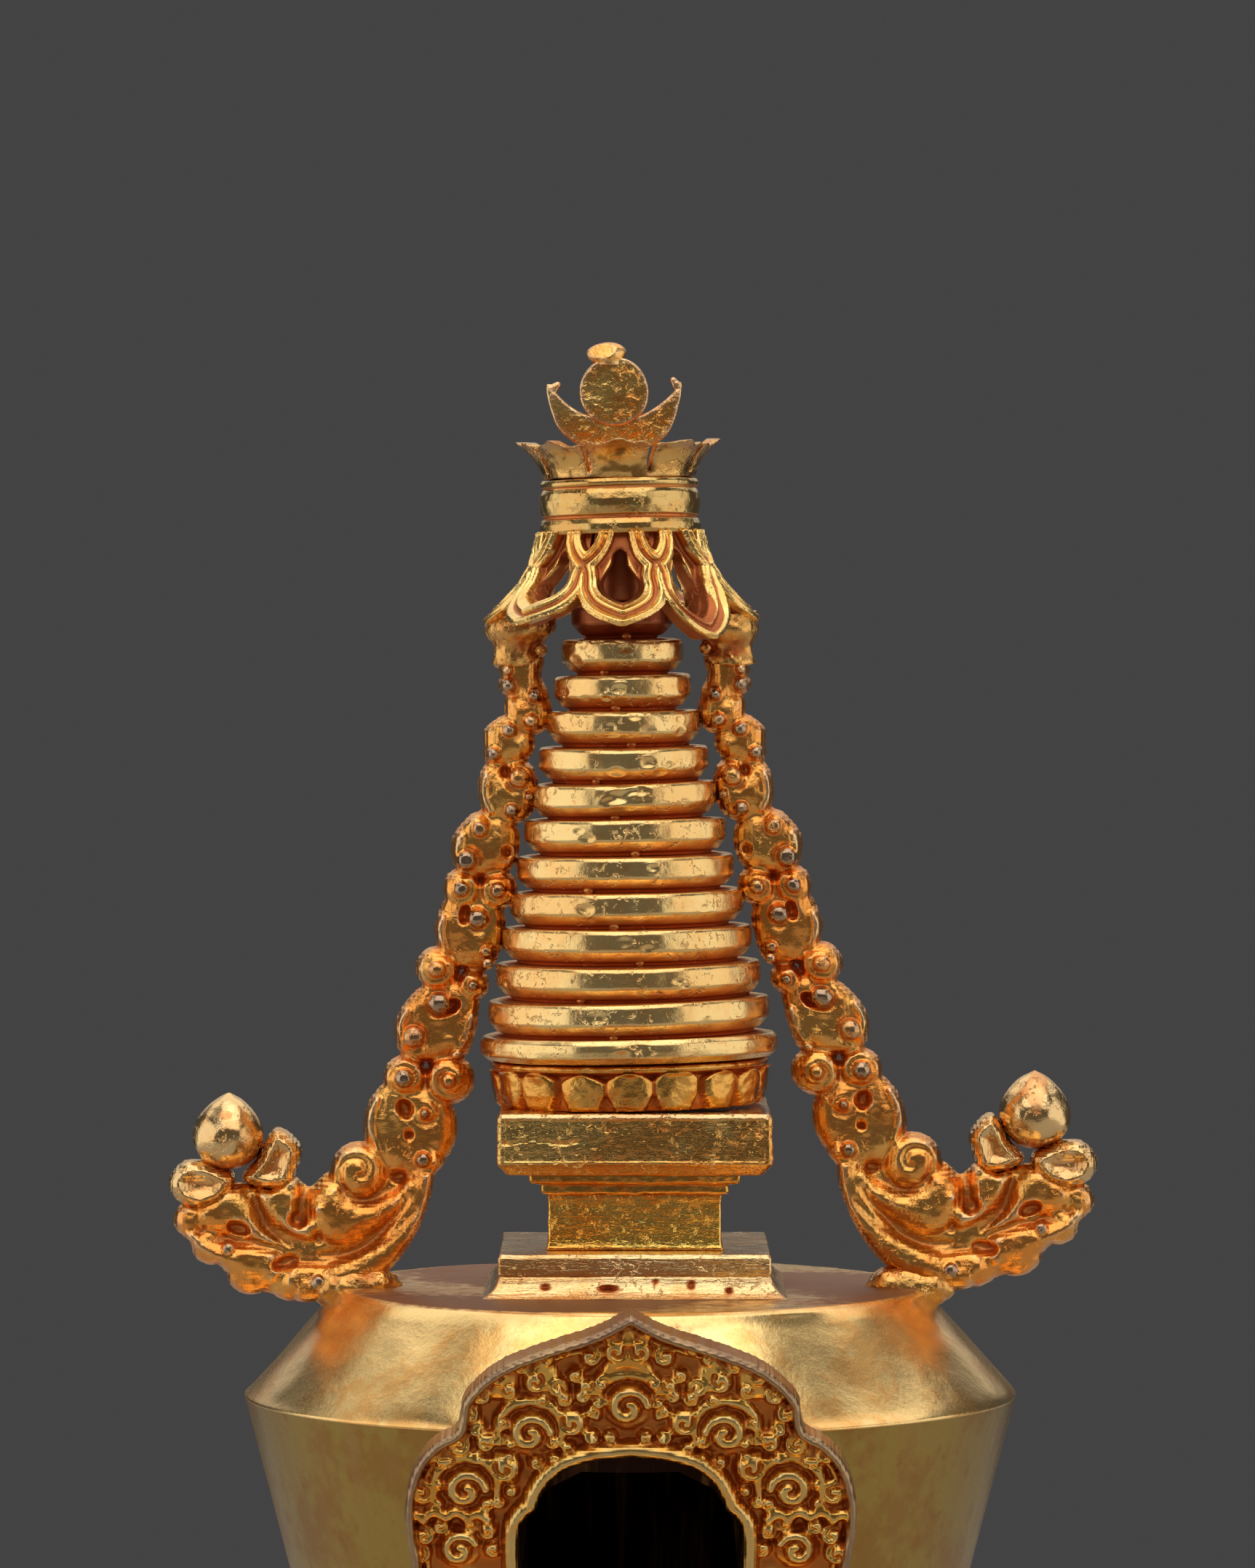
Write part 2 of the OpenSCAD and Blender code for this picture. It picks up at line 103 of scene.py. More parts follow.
def spline(pts, n=8, closed=False):
    p = np.array(pts, float)
    if closed:
        q = np.vstack([p[-1], p, p[0], p[1]])
    else:
        q = np.vstack([2 * p[0] - p[1], p, 2 * p[-1] - p[-2]])
    out = []
    for i in range(1, len(q) - 2):
        a, b, c, d = q[i - 1], q[i], q[i + 1], q[i + 2]
        for t in np.arange(n) / n:
            out.append(0.5 * (2 * b + (c - a) * t + (2 * a - 5 * b + 4 * c - d) * t * t
                              + (3 * b - a - 3 * c + d) * t ** 3))
    if not closed:
        out.append(p[-1])
    return np.array(out)


# ------------------------------------------------------------------ meshes
def build(name, V, faces, mat, replaces=(), body=BODY, attrs=None, check=True):
    V = np.asarray(V, np.float64)
    faces = [np.asarray(f, np.int64) for f in faces if len(f)]
    if check:
        vol = 0.0
        for f in faces:
            for k in range(1, f.shape[1] - 1):
                vol += np.einsum("ij,ij->i", V[f[:, 0]], np.cross(V[f[:, k]], V[f[:, k + 1]])).sum()
        if vol < 0:
            faces = [f[:, ::-1] for f in faces]
    me = bpy.data.meshes.new(name)
    me.vertices.add(len(V))
    me.vertices.foreach_set("co", (V * MM).astype(np.float32).ravel())
    loops = np.concatenate([f.ravel() for f in faces]).astype(np.int32)
    sizes = np.concatenate([np.full(len(f), f.shape[1]) for f in faces])
    starts = np.concatenate([[0], np.cumsum(sizes)[:-1]]).astype(np.int32)
    me.loops.add(len(loops))
    me.loops.foreach_set("vertex_index", loops)
    me.polygons.add(len(sizes))
    me.polygons.foreach_set("loop_start", starts)
    me.polygons.foreach_set("use_smooth", np.ones(len(sizes), bool))
    me.update(calc_edges=True)
    me.validate()
    for k, a in (attrs or {}).items():
        if len(a) == len(me.vertices):
            at = me.attributes.new(k, "FLOAT", "POINT")
            at.data.foreach_set("value", np.asarray(a, np.float32))
    ob = bpy.data.objects.new(name, me)
    bpy.context.scene.collection.objects.link(ob)
    ob.data.materials.append(mat)
    if body:
        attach(ob, body)
    if replaces:
        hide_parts(*replaces)
    return ob


# ------------------------------------------------------------------ volumes
class Vol:
    """A box of samples; f below 0 is metal."""

    def __init__(s, lo, hi, h):
        s.lo, s.h = np.array(lo, float), h
        s.n = [int(math.ceil((b - a) / h)) + 1 for a, b in zip(lo, hi)]
        ax = [s.lo[i] + h * np.arange(s.n[i]) for i in range(3)]
        s.X, s.Y, s.Z = (ax[0][:, None, None].astype(np.float32), ax[1][None, :, None].astype(np.float32),
                         ax[2][None, None, :].astype(np.float32))

    def pts(s):
        X, Y, Z = np.broadcast_arrays(s.X, s.Y, s.Z)
        return np.stack([X, Y, Z], -1)


def blur3(a, r):
    a = a.astype(np.float32)
    for ax in range(3):
        if a.shape[ax] <= 2 * r + 1:
            continue
        c = np.cumsum(a, axis=ax, dtype=np.float64)
        z = np.zeros_like(np.take(c, [0], axis=ax))
        c = np.concatenate([z, c], axis=ax)
        n = a.shape[ax]
        hi = np.minimum(np.arange(n) + r + 1, n)
        lo = np.maximum(np.arange(n) - r, 0)
        w = (hi - lo).astype(np.float32)
        sh = [1, 1, 1]; sh[ax] = n
        a = ((np.take(c, hi, axis=ax) - np.take(c, lo, axis=ax)) / w.reshape(sh)).astype(np.float32)
    return a


def sample3(a, lo, h, P):
    q = (P - lo) / h
    i = np.clip(np.floor(q).astype(int), 0, np.array(a.shape) - 2)
    f = np.clip(q - i, 0, 1)
    out = 0
    for dx in (0, 1):
        for dy in (0, 1):
            for dz in (0, 1):
                w = (np.where(dx, f[:, 0], 1 - f[:, 0]) * np.where(dy, f[:, 1], 1 - f[:, 1])
                     * np.where(dz, f[:, 2], 1 - f[:, 2]))
                out = out + w * a[i[:, 0] + dx, i[:, 1] + dy, i[:, 2] + dz]
    return out


def surface(v, f, cav_r=0.45, keep=None):
    """Quads of f = 0, with how deep in a hollow each point is."""
    f = np.clip(f, -4 * v.h, 4 * v.h).astype(np.float32)
    for sl in ((0, slice(None), slice(None)), (-1, slice(None), slice(None)), (slice(None), 0, slice(None)),
               (slice(None), -1, slice(None)), (slice(None), slice(None), 0), (slice(None), slice(None), -1)):
        f[sl] = np.maximum(f[sl], v.h)
    g = vdb.FloatGrid(4 * v.h)
    g.copyFromArray(f)
    pts, quads = g.convertToQuads(isovalue=0.0)
    pts = pts.astype(np.float64) * v.h + v.lo
    occ = np.clip(0.5 - f / v.h, 0, 1)
    r = max(1, int(round(cav_r / v.h)))
    b = blur3(blur3(occ, r), max(1, r // 2))
    cav = sample3(b, v.lo, v.h, pts) - 0.5
    return pts, quads.astype(np.int64), cav * 2.6


class Relief:
    """A height above a mid plane on an (a, b) grid, with the outline's inside distance in S."""

    def __init__(s, a0, a1, b0, b1, h):
        s.a0, s.b0, s.h = a0, b0, h
        s.na, s.nb = int((a1 - a0) / h) + 1, int((b1 - b0) / h) + 1
        s.A = (a0 + h * np.arange(s.na))[:, None] * np.ones((1, s.nb))
        s.B = (b0 + h * np.arange(s.nb))[None, :] * np.ones((s.na, 1))
        s.H = np.zeros((s.na, s.nb))
        s.S = np.full((s.na, s.nb), -9.0)

    def win(s, a0, a1, b0, b1):
        i0 = max(0, int((a0 - s.a0) / s.h) - 1); i1 = min(s.na, int((a1 - s.a0) / s.h) + 2)
        j0 = max(0, int((b0 - s.b0) / s.h) - 1); j1 = min(s.nb, int((b1 - s.b0) / s.h) + 2)
        return slice(i0, max(i0, i1)), slice(j0, max(j0, j1))

    def poly_d(s, poly, pad=1.0):
        p = np.asarray(poly, float)
        w = s.win(p[:, 0].min() - pad, p[:, 0].max() + pad, p[:, 1].min() - pad, p[:, 1].max() + pad)
        A, B = s.A[w], s.B[w]
        d = np.full(A.shape, 1e9)
        inside = np.zeros(A.shape, bool)
        for (x0, y0), (x1, y1) in zip(p, np.roll(p, -1, 0)):
            ex, ey = x1 - x0, y1 - y0
            L = ex * ex + ey * ey + 1e-12
            t = np.clip(((A - x0) * ex + (B - y0) * ey) / L, 0, 1)
            d = np.minimum(d, (A - x0 - t * ex) ** 2 + (B - y0 - t * ey) ** 2)
            if y0 != y1:
                c = ((y0 > B) != (y1 > B)) & (A < (x1 - x0) * (B - y0) / (y1 - y0) + x0)
                inside ^= c
        d = np.sqrt(d)
        return w, np.where(inside, d, -d)

    def body(s, poly, top, edge=0.5, rim=0.0, rim_w=0.16, cup=0.0, outline=True):
        w, d = s.poly_d(poly)
        t = np.clip(d / edge, 0, 1)
        val = top * (0.26 + 0.74 * np.sqrt(np.clip(1 - (1 - t) ** 2, 0, 1)))
        val = val + rim * np.exp(-((d - rim_w * 1.3) / rim_w) ** 2) - cup * sstep(0.15, 1.2, d)
        val = np.where(d > 0, val, 0)
        s.H[w] = np.maximum(s.H[w], val)
        if outline:
            s.S[w] = np.maximum(s.S[w], d)

    def disc(s, a, b, r, top, edge=0.3, rim=0.0, rim_w=0.14, cup=0.0, outline=True):
        w = s.win(a - r - 0.6, a + r + 0.6, b - r - 0.6, b + r + 0.6)
        q = np.hypot(s.A[w] - a, s.B[w] - b)
        d = r - q
        t = np.clip(d / edge, 0, 1)
        val = top * (0.4 + 0.6 * np.sqrt(np.clip(1 - (1 - t) ** 2, 0, 1)))
        val = val + rim * np.exp(-((d - rim_w * 1.4) / rim_w) ** 2) - cup * sstep(0.1, r * 0.7, d)
        val = np.where(d > 0, val, 0)
        s.H[w] = np.maximum(s.H[w], val)
        if outline:
            s.S[w] = np.maximum(s.S[w], d)

    def knob(s, a, b, r, base, up):
        w = s.win(a - r, a + r, b - r, b + r)
        q = np.hypot(s.A[w] - a, s.B[w] - b) / r
        val = base + up * np.sqrt(np.clip(1 - q ** 2, 0, 1)) ** 0.8
        s.H[w] = np.where(q < 1, np.maximum(s.H[w], val), s.H[w])
        # a fine chased line around the knob
        w = s.win(a - r - 0.4, a + r + 0.4, b - r - 0.4, b + r + 0.4)
        q = np.hypot(s.A[w] - a, s.B[w] - b)
        s.H[w] = s.H[w] - 0.05 * np.exp(-((q - r - 0.05) / 0.10) ** 2) * (s.H[w] > 0.2)

    def pit(s, a, b, ra, rb, level, ang=0.0):
        R = max(ra, rb) * 1.5
        w = s.win(a - R, a + R, b - R, b + R)
        c, sn = math.cos(ang), math.sin(ang)
        x, y = s.A[w] - a, s.B[w] - b
        q = np.hypot((x * c + y * sn) / ra, (-x * sn + y * c) / rb)
        k = sstep(0.75, 1.15, q)
        s.H[w] = np.where(s.H[w] > level, level + (s.H[w] - level) * k, s.H[w])

    def line_d(s, pts, pad):
        p = np.asarray(pts, float)
        w = s.win(p[:, 0].min() - pad, p[:, 0].max() + pad, p[:, 1].min() - pad, p[:, 1].max() + pad)
        A, B = s.A[w], s.B[w]
        d = np.full(A.shape, 1e9); tt = np.zeros(A.shape)
        n = len(p) - 1
        for i in range(n):
            (x0, y0), (x1, y1) = p[i], p[i + 1]
            ex, ey = x1 - x0, y1 - y0
            L = ex * ex + ey * ey + 1e-12
            t = np.clip(((A - x0) * ex + (B - y0) * ey) / L, 0, 1)
            q = (A - x0 - t * ex) ** 2 + (B - y0 - t * ey) ** 2
            m = q < d
            d = np.where(m, q, d); tt = np.where(m, (i + t) / n, tt)
        return w, np.sqrt(d), tt

    def soften(s, r):
        """Melts the heights together a little, as in a casting worked from wax."""
        n = max(1, int(round(r / s.h)))
        for _ in range(2):
            for ax in (0, 1):
                c = np.cumsum(s.H, axis=ax)
                c = np.concatenate([np.zeros_like(np.take(c, [0], axis=ax)), c], axis=ax)
                m = s.H.shape[ax]
                hi = np.minimum(np.arange(m) + n + 1, m); lo = np.maximum(np.arange(m) - n, 0)
                w = (hi - lo).astype(float)
                w = w[:, None] if ax == 0 else w[None, :]
                s.H = (np.take(c, hi, axis=ax) - np.take(c, lo, axis=ax)) / w

    def stroke(s, pts, wid, base, up, taper=(1.0, 1.0), outline=False, inside_only=False):
        """A rounded ridge along a line, taper giving the width at its two ends."""
        w, d, t = s.line_d(pts, wid + 0.3)
        ww = wid * (taper[0] * (1 - t) ** 2 + 2 * t * (1 - t) * 1.0 + taper[1] * t ** 2) + 1e-3
        q = np.clip(d / ww, 0, 2)
        val = base + up * np.sqrt(np.clip(1 - q ** 2, 0, 1)) ** 0.9
        m = q < 1
        if inside_only:
            m &= s.H[w] > 0.2
        s.H[w] = np.where(m, np.maximum(s.H[w], val), s.H[w])
        if outline:
            s.S[w] = np.maximum(s.S[w], ww - d)

    def groove(s, pts, wid, depth):
        w, d, t = s.line_d(pts, wid * 3)
        s.H[w] = s.H[w] - depth * np.exp(-(d / wid) ** 2) * (s.H[w] > 0.25)


def spiral(a, b, r0, r1, start, turns, n=28):
    """From radius r0 at angle start (degrees) winding in to r1."""
    t = np.linspace(0, 1, n)
    ang = np.radians(start) + turns * 2 * math.pi * t
    r = r0 + (r1 - r0) * t
    return np.stack([a + r * np.cos(ang), b + r * np.sin(ang)], 1)


# ------------------------------------------------------------------ swept and turned pieces
def dense(profile, step=0.25, rnd=0.0):
    """Corner points of a closed or open profile with their corners eased and sides filled in."""
    p = np.array(profile, float)
    out = []
    n = len(p)
    for i in range(n):
        a, b = p[i], p[(i + 1) % n]
        L = np.linalg.norm(b - a)
        if L < 1e-9:
            continue
        k = max(1, int(L / step))
        if L > 2.5 and abs(a[1] - b[1]) < 0.3:
            k = min(k, 7)
        elif L > 2.5:
            k = min(k, 16)
        ts = np.arange(k) / k
        if rnd and L > 2.4 * rnd:
            ts = np.unique(np.round(np.concatenate([[0, rnd / L, 2 * rnd / L], ts[(ts > 2.5 * rnd / L) & (ts < 1 - 2.5 * rnd / L)],
                                                    [1 - 2 * rnd / L, 1 - rnd / L]]), 6))
        for t in ts:
            out.append(a + (b - a) * t)
    q = np.array(out)
    if rnd:
        m = (np.roll(q, 1, 0) + 2 * q + np.roll(q, -1, 0)) / 4
        q = m
    return q


def lathe(profile, seg, fn=None):
    """A closed (r, z) loop turned about Z; fn(theta, index, r, z) may move each point."""
    p = np.asarray(profile, float)
    th = np.linspace(0, 2 * math.pi, seg, endpoint=False)
    T, I = np.meshgrid(th, np.arange(len(p)), indexing="ij")
    r, z = p[I, 0], p[I, 1]
    if fn is not None:
        r, z = fn(T, I, r, z)
    V = np.stack([r * np.sin(T), -r * np.cos(T), z + 0 * T], -1)
    m = len(p)
    i = np.arange(seg)[:, None]; j = np.arange(m)[None, :]
    i2, j2 = (i + 1) % seg, (j + 1) % m
    F = np.stack([i * m + j, i2 * m + j, i2 * m + j2, i * m + j2], -1).reshape(-1, 4)
    return V.reshape(-1, 3), F


def square_lathe(profile, rc=0.5, side_n=60, arc_n=5, fn=None):
    """A closed (half width, z) loop carried around a square with rounded corners."""
    p = np.asarray(profile, float)
    ring = []
    for q in range(4):
        a0 = -math.pi / 2 + q * math.pi / 2
        d = np.array([math.cos(a0), math.sin(a0)]); t = np.array([-d[1], d[0]])
        for u in np.linspace(-1, 1, side_n):
            ring.append(("s", d, t, u, d))
        for k in range(1, arc_n):
            a = a0 + (math.pi / 2) * k / arc_n
            ring.append(("c", d, t, 1.0, np.array([math.cos(a), math.sin(a)])))
    seg = len(ring); m = len(p)
    V = np.zeros((seg, m, 3)); U = np.zeros((seg, m)); NN = np.zeros((seg, 2))
    for i, (kind, d, t, u, n) in enumerate(ring):
        hw = p[:, 0]
        r = np.minimum(rc, hw * 0.5)
        if kind == "s":
            xy = d[None, :] * hw[:, None] + t[None, :] * (u * (hw - r))[:, None]
            U[i] = u * (hw - r)
        else:
            c = (d + t)[None, :] * (hw - r)[:, None]
            xy = c + n[None, :] * r[:, None]
            U[i] = hw
        V[i, :, :2] = xy; V[i, :, 2] = p[:, 1]; NN[i] = n
    if fn is not None:
        off, dz = fn(U, np.broadcast_to(np.arange(m)[None, :], U.shape), V)
        V[..., 0] += NN[:, None, 0] * off; V[..., 1] += NN[:, None, 1] * off; V[..., 2] += dz
    i = np.arange(seg)[:, None]; j = np.arange(m)[None, :]
    i2, j2 = (i + 1) % seg, (j + 1) % m
    F = np.stack([i * m + j, i2 * m + j, i2 * m + j2, i * m + j2], -1).reshape(-1, 4)
    return V.reshape(-1, 3), F


# ------------------------------------------------------------------ materials
class Tree:
    def __init__(s, name):
        s.m = bpy.data.materials.new(name); s.m.use_nodes = True
        s.t = s.m.node_tree; s.t.nodes.clear()
        s.out = s.t.nodes.new("ShaderNodeOutputMaterial")
        s.b = s.t.nodes.new("ShaderNodeBsdfPrincipled")
        s.t.links.new(s.b.outputs[0], s.out.inputs[0])
        tc = s.t.nodes.new("ShaderNodeTexCoord")
        s.P = s.vec("SCALE", tc.outputs["Object"], scale=1000.0)

    def vec(s, op, a, b=None, scale=None):
        n = s.t.nodes.new("ShaderNodeVectorMath"); n.operation = op
        s.put(n.inputs[0], a)
        if b is not None:
            s.put(n.inputs[1], b)
        if scale is not None:
            n.inputs["Scale"].default_value = scale
        return n.outputs[0]

    def put(s, sock, v):
        if isinstance(v, bpy.types.NodeSocket):
            s.t.links.new(v, sock)
        else:
            sock.default_value = v

    def math(s, op, a, b=0.5, clamp=False):
        n = s.t.nodes.new("ShaderNodeMath"); n.operation = op; n.use_clamp = clamp
        s.put(n.inputs[0], a); s.put(n.inputs[1], b)
        return n.outputs[0]

    def noise(s, scale, detail=3.0, rough=0.55, vec=None, dist=0.0, off=None):
        n = s.t.nodes.new("ShaderNodeTexNoise"); n.noise_dimensions = "3D"
        v = vec if vec is not None else s.P
        if off is not None:
            v = s.vec("ADD", v, (off, off * 1.7, -off * 0.6))
        s.put(n.inputs["Vector"], v)
        n.inputs["Scale"].default_value = scale; n.inputs["Detail"].default_value = detail
        n.inputs["Roughness"].default_value = rough; n.inputs["Distortion"].default_value = dist
        return n.outputs[0]

    def rng(s, v, a, b, c=0.0, d=1.0, smooth=True):
        n = s.t.nodes.new("ShaderNodeMapRange"); n.clamp = True
        n.interpolation_type = "SMOOTHSTEP" if smooth else "LINEAR"
        s.put(n.inputs["Value"], v)
        for k, x in (("From Min", a), ("From Max", b), ("To Min", c), ("To Max", d)):
            n.inputs[k].default_value = x
        return n.outputs[0]

    def mix(s, fac, a, b):
        n = s.t.nodes.new("ShaderNodeMix"); n.data_type = "RGBA"
        s.put(n.inputs[0], fac)
        for i, v in ((6, a), (7, b)):
            if isinstance(v, tuple) and len(v) == 3:
                v = v + (1.0,)
            s.put(n.inputs[i], v)
        return n.outputs[2]

    def attr(s, name):
        n = s.t.nodes.new("ShaderNodeAttribute"); n.attribute_type = "GEOMETRY"; n.attribute_name = name
        return n.outputs["Fac"]


def metal(name, pale=(0.93, 0.66, 0.23), warm=(0.86, 0.50, 0.13), rough=0.2, oxide=(0.42, 0.10, 0.028),
          cav=(0.06, 0.42), cav_amt=0.95, tone=(0.42, 0.62), speck=0.35, grain=2.2, brush=None, brush_amt=0.0,
          dent=14.0, edge=(0.62, 0.50, 0.42), edge_amt=0.0, ox_attr=False, ox_col=(0.13, 0.05, 0.035), off=0.0,
          hue=0.35, wall=False, pits=0.0, ox_rough=0.3):
    t = Tree(name)
    b = t.b
    b.inputs["Metallic"].default_value = 1.0
    big = t.noise(0.16, 4.0, 0.6, off=off)
    mid = t.noise(0.9, 5.0, 0.62, off=off + 3.0)
    fine = t.noise(5.5, 4.0, 0.65, off=off + 9.0)
    col = t.mix(t.math("MULTIPLY", t.rng(t.math("ADD", big, t.math("MULTIPLY", t.math("SUBTRACT", mid, 0.5), 0.5)),
                                         tone[0], tone[1]), hue), pale, warm)
    # specks where the gilding has worn through to copper
    sp = t.math("MULTIPLY", t.rng(t.math("ADD", t.math("MULTIPLY", fine, 0.55), t.math("MULTIPLY", mid, 0.45)), 0.55, 0.66), speck)
    col = t.mix(sp, col, (warm[0] * 0.72, warm[1] * 0.48, warm[2] * 0.42))
    cv = t.attr("cav")
    # hollows: red copper oxide, broken up by the noise
    cn = t.math("ADD", cv, t.math("MULTIPLY", t.math("SUBTRACT", mid, 0.5), 0.28))
    cm = t.math("MULTIPLY", t.rng(cn, cav[0], cav[1]), cav_amt)
    col = t.mix(cm, col, oxide)
    rg = t.math("ADD", t.math("MULTIPLY", t.math("SUBTRACT", fine, 0.5), 0.16), rough)
    rg = t.math("ADD", rg, t.math("MULTIPLY", t.math("SUBTRACT", big, 0.5), 0.10))
    rg = t.math("ADD", rg, t.math("MULTIPLY", cm, 0.26))
    if edge_amt:
        em = t.math("MULTIPLY", t.rng(cn, -0.18, -0.5), edge_amt)
        col = t.mix(em, col, edge)
        rg = t.math("ADD", rg, t.math("MULTIPLY", em, 0.12))
    if ox_attr:
        om = t.attr("ox")
        o2 = t.rng(t.math("ADD", om, t.math("MULTIPLY", t.math("SUBTRACT", mid, 0.5), 0.7)), 0.35, 0.75)
        col = t.mix(t.math("MULTIPLY", o2, 0.9), col, ox_col)
        rg = t.math("ADD", rg, t.math("MULTIPLY", o2, ox_rough))
    if wall:
        # inside the shell, and on the wall seen through the niche frame's mouth, the copper is painted near black:
        # painted shade for the hollow that gets no light
        sp3 = t.t.nodes.new("ShaderNodeSeparateXYZ"); t.put(sp3.inputs[0], t.P)
        X, Y, Z = sp3.outputs
        rad = t.math("SQRT", t.math("ADD", t.math("MULTIPLY", X, X), t.math("MULTIPLY", Y, Y)))
        shell = t.math("SUBTRACT", t.math("SUBTRACT", rad, t.math("MULTIPLY", Z, TAPER)), R_WALL0 - TAPER * Z_WALL)
        painted_shade_inside = t.math("LESS_THAN", shell, -0.25)
        zb = t.math("MULTIPLY", t.math("GREATER_THAN", Z, 45.5), t.math("LESS_THAN", Z, 68.2))
        painted_shade_behind_frame = t.math("MULTIPLY", t.math("MULTIPLY", t.math("LESS_THAN", t.math("ABSOLUTE", X), 8.9), zb), t.math("LESS_THAN", Y, 0.0))
        painted_shade_inside = t.math("MAXIMUM", painted_shade_inside, painted_shade_behind_frame)
        col = t.mix(painted_shade_inside, col, (0.028, 0.012, 0.008))
        rg = t.math("ADD", rg, t.math("MULTIPLY", painted_shade_inside, 0.4))
        # long faint scraper marks down the wall
        an = t.math("ARCTAN2", X, Y)
        cx = t.t.nodes.new("ShaderNodeCombineXYZ")
        t.put(cx.inputs[0], t.math("MULTIPLY", an, 14.0)); t.put(cx.inputs[1], t.math("MULTIPLY", Z, 0.05)); t.put(cx.inputs[2], 3.0)
        st = t.noise(1.0, 3.0, 0.6, vec=cx.outputs[0])
        rg = t.math("ADD", rg, t.math("MULTIPLY", t.math("SUBTRACT", st, 0.5), 0.25))
        col = t.mix(t.math("MULTIPLY", t.rng(st, 0.5, 0.72), 0.55), col, (0.38, 0.21, 0.08))
    t.put(b.inputs["Base Color"], col)
    t.put(b.inputs["Roughness"], t.math("MAXIMUM", rg, 0.07))
    # relief in the surface: soft dents, grain, and file strokes
    hgt = t.math("MULTIPLY", mid, dent * 0.001)
    hgt = t.math("ADD", hgt, t.math("MULTIPLY", fine, grain * 0.001))
    if pits:
        pn = t.noise(2.1, 3.0, 0.6, off=off + 31, dist=0.6)
        gate = t.rng(t.noise(0.45, 2.0, 0.5, off=off + 41), 0.44, 0.60)
        pm = t.math("MULTIPLY", t.rng(pn, 0.56, 0.66), gate)
        hgt = t.math("SUBTRACT", hgt, t.math("MULTIPLY", pm, pits * 0.001))
    if brush is not None:
        v = t.vec("MULTIPLY", t.P, brush)
        br = t.noise(1.0, 4.0, 0.7, vec=v, off=off + 5)
        hgt = t.math("ADD", hgt, t.math("MULTIPLY", br, brush_amt * 0.001))
    bp = t.t.nodes.new("ShaderNodeBump")
    bp.inputs["Strength"].default_value = 1.0
    bp.inputs["Distance"].default_value = 0.001
    t.put(bp.inputs["Height"], hgt)
    t.t.links.new(bp.outputs[0], b.inputs["Normal"])
    return t.m


GOLD, ORANGE, REDDISH = (0.88, 0.62, 0.26), (0.86, 0.45, 0.13), (0.64, 0.20, 0.055)
M_RING = metal("gilt_rings", GOLD, ORANGE, rough=0.24, dent=30.0, grain=8.0, pits=45.0, speck=0.45, brush=(0.5, 0.5, 9.0), brush_amt=2.5,
               oxide=REDDISH, cav=(0.0, 0.36), hue=0.45, off=1.0)
M_RING_OLD = metal("gilt_rings_dull", pale=(0.34, 0.10, 0.04), warm=(0.20, 0.055, 0.025), rough=0.38, grain=5.0, off=2.0)
M_SCROLL = metal("gilt_scrolls", pale=(0.88, 0.44, 0.11), warm=(0.85, 0.31, 0.06), rough=0.25, pits=35.0, cav=(0.05, 0.55), cav_amt=0.75, speck=0.3,
                 oxide=(0.60, 0.19, 0.05), dent=70.0, grain=10.0, edge=(0.86, 0.66, 0.42), edge_amt=0.5, hue=0.8, tone=(0.36, 0.6), off=4.0,
                 ox_attr=True, ox_col=(0.40, 0.28, 0.19), ox_rough=-0.08)
M_CANOPY = metal("gilt_canopy", pale=(0.92, 0.62, 0.22), warm=(0.86, 0.45, 0.11), pits=25.0, rough=0.24, cav=(-0.02, 0.24),
                 oxide=(0.46, 0.13, 0.045), dent=30.0, grain=5.0, hue=0.6, off=6.0)
M_DRUM = metal("gilt_drum", (0.68, 0.45, 0.16), (0.68, 0.33, 0.08), rough=0.19, pits=40.0, dent=44.0, grain=7.0, speck=0.55, oxide=REDDISH, hue=0.6, off=7.0)
M_CUP = metal("gilt_cup", pale=(0.86, 0.50, 0.15), warm=(0.70, 0.30, 0.07), rough=0.15, pits=140.0, dent=110.0, grain=8.0, speck=0.8,
              ox_attr=True, ox_col=(0.22, 0.11, 0.03), ox_rough=0.12,
              oxide=(0.6, 0.2, 0.05), edge=(0.34, 0.22, 0.18), edge_amt=0.4, hue=0.8, off=8.0)
M_FINIAL = metal("gilt_finial", pale=(0.92, 0.58, 0.18), warm=(0.86, 0.40, 0.10), rough=0.20, pits=110.0, dent=110.0, grain=20.0, oxide=(0.6, 0.2, 0.05),
                 speck=0.8, edge=(0.70, 0.52, 0.36), edge_amt=0.5, brush=(1.2, 1.2, 7.0), brush_amt=8.0, hue=0.9, off=9.0)
M_HARM = metal("gilt_harmika", pale=(0.98, 0.62, 0.14), warm=(0.96, 0.44, 0.07), rough=0.14, dent=115.0, grain=20.0, speck=0.5, oxide=REDDISH,
               pits=90.0, brush=(0.4, 0.4, 1.9), brush_amt=75.0, edge=(0.9, 0.66, 0.4), edge_amt=0.3, hue=0.7, off=11.0)
M_SLAB = metal("gilt_slab", pale=(0.78, 0.50, 0.16), warm=(0.74, 0.34, 0.08), rough=0.11, dent=105.0, grain=16.0, speck=0.6, oxide=REDDISH,
               pits=130.0, brush=(0.4, 0.4, 1.7), brush_amt=75.0, edge=(0.80, 0.58, 0.40), edge_amt=0.5, hue=0.8, off=12.0)
M_FOOT = metal("gilt_foot", pale=(0.88, 0.62, 0.30), warm=(0.84, 0.46, 0.16), rough=0.18, dent=50.0, grain=16.0, speck=0.5, oxide=REDDISH,
               pits=60.0, brush=(0.3, 0.3, 3.6), brush_amt=80.0, edge=(0.9, 0.70, 0.46), edge_amt=0.3, hue=0.7, off=11.0)
M_COLLAR = metal("gilt_collar", pale=(0.74, 0.38, 0.085), warm=(0.70, 0.26, 0.04), rough=0.22, dent=110.0, grain=12.0,
                 oxide=(0.56, 0.14, 0.025), cav=(0.0, 0.4), hue=0.8, speck=0.4, off=13.0)
M_DOME = metal("gilt_dome", pale=(0.40, 0.265, 0.07), warm=(0.36, 0.19, 0.05), rough=0.31, dent=9.0, grain=3.0, speck=0.35,
               ox_attr=True, ox_col=(0.20, 0.075, 0.05), hue=0.9, off=14.0, wall=True)
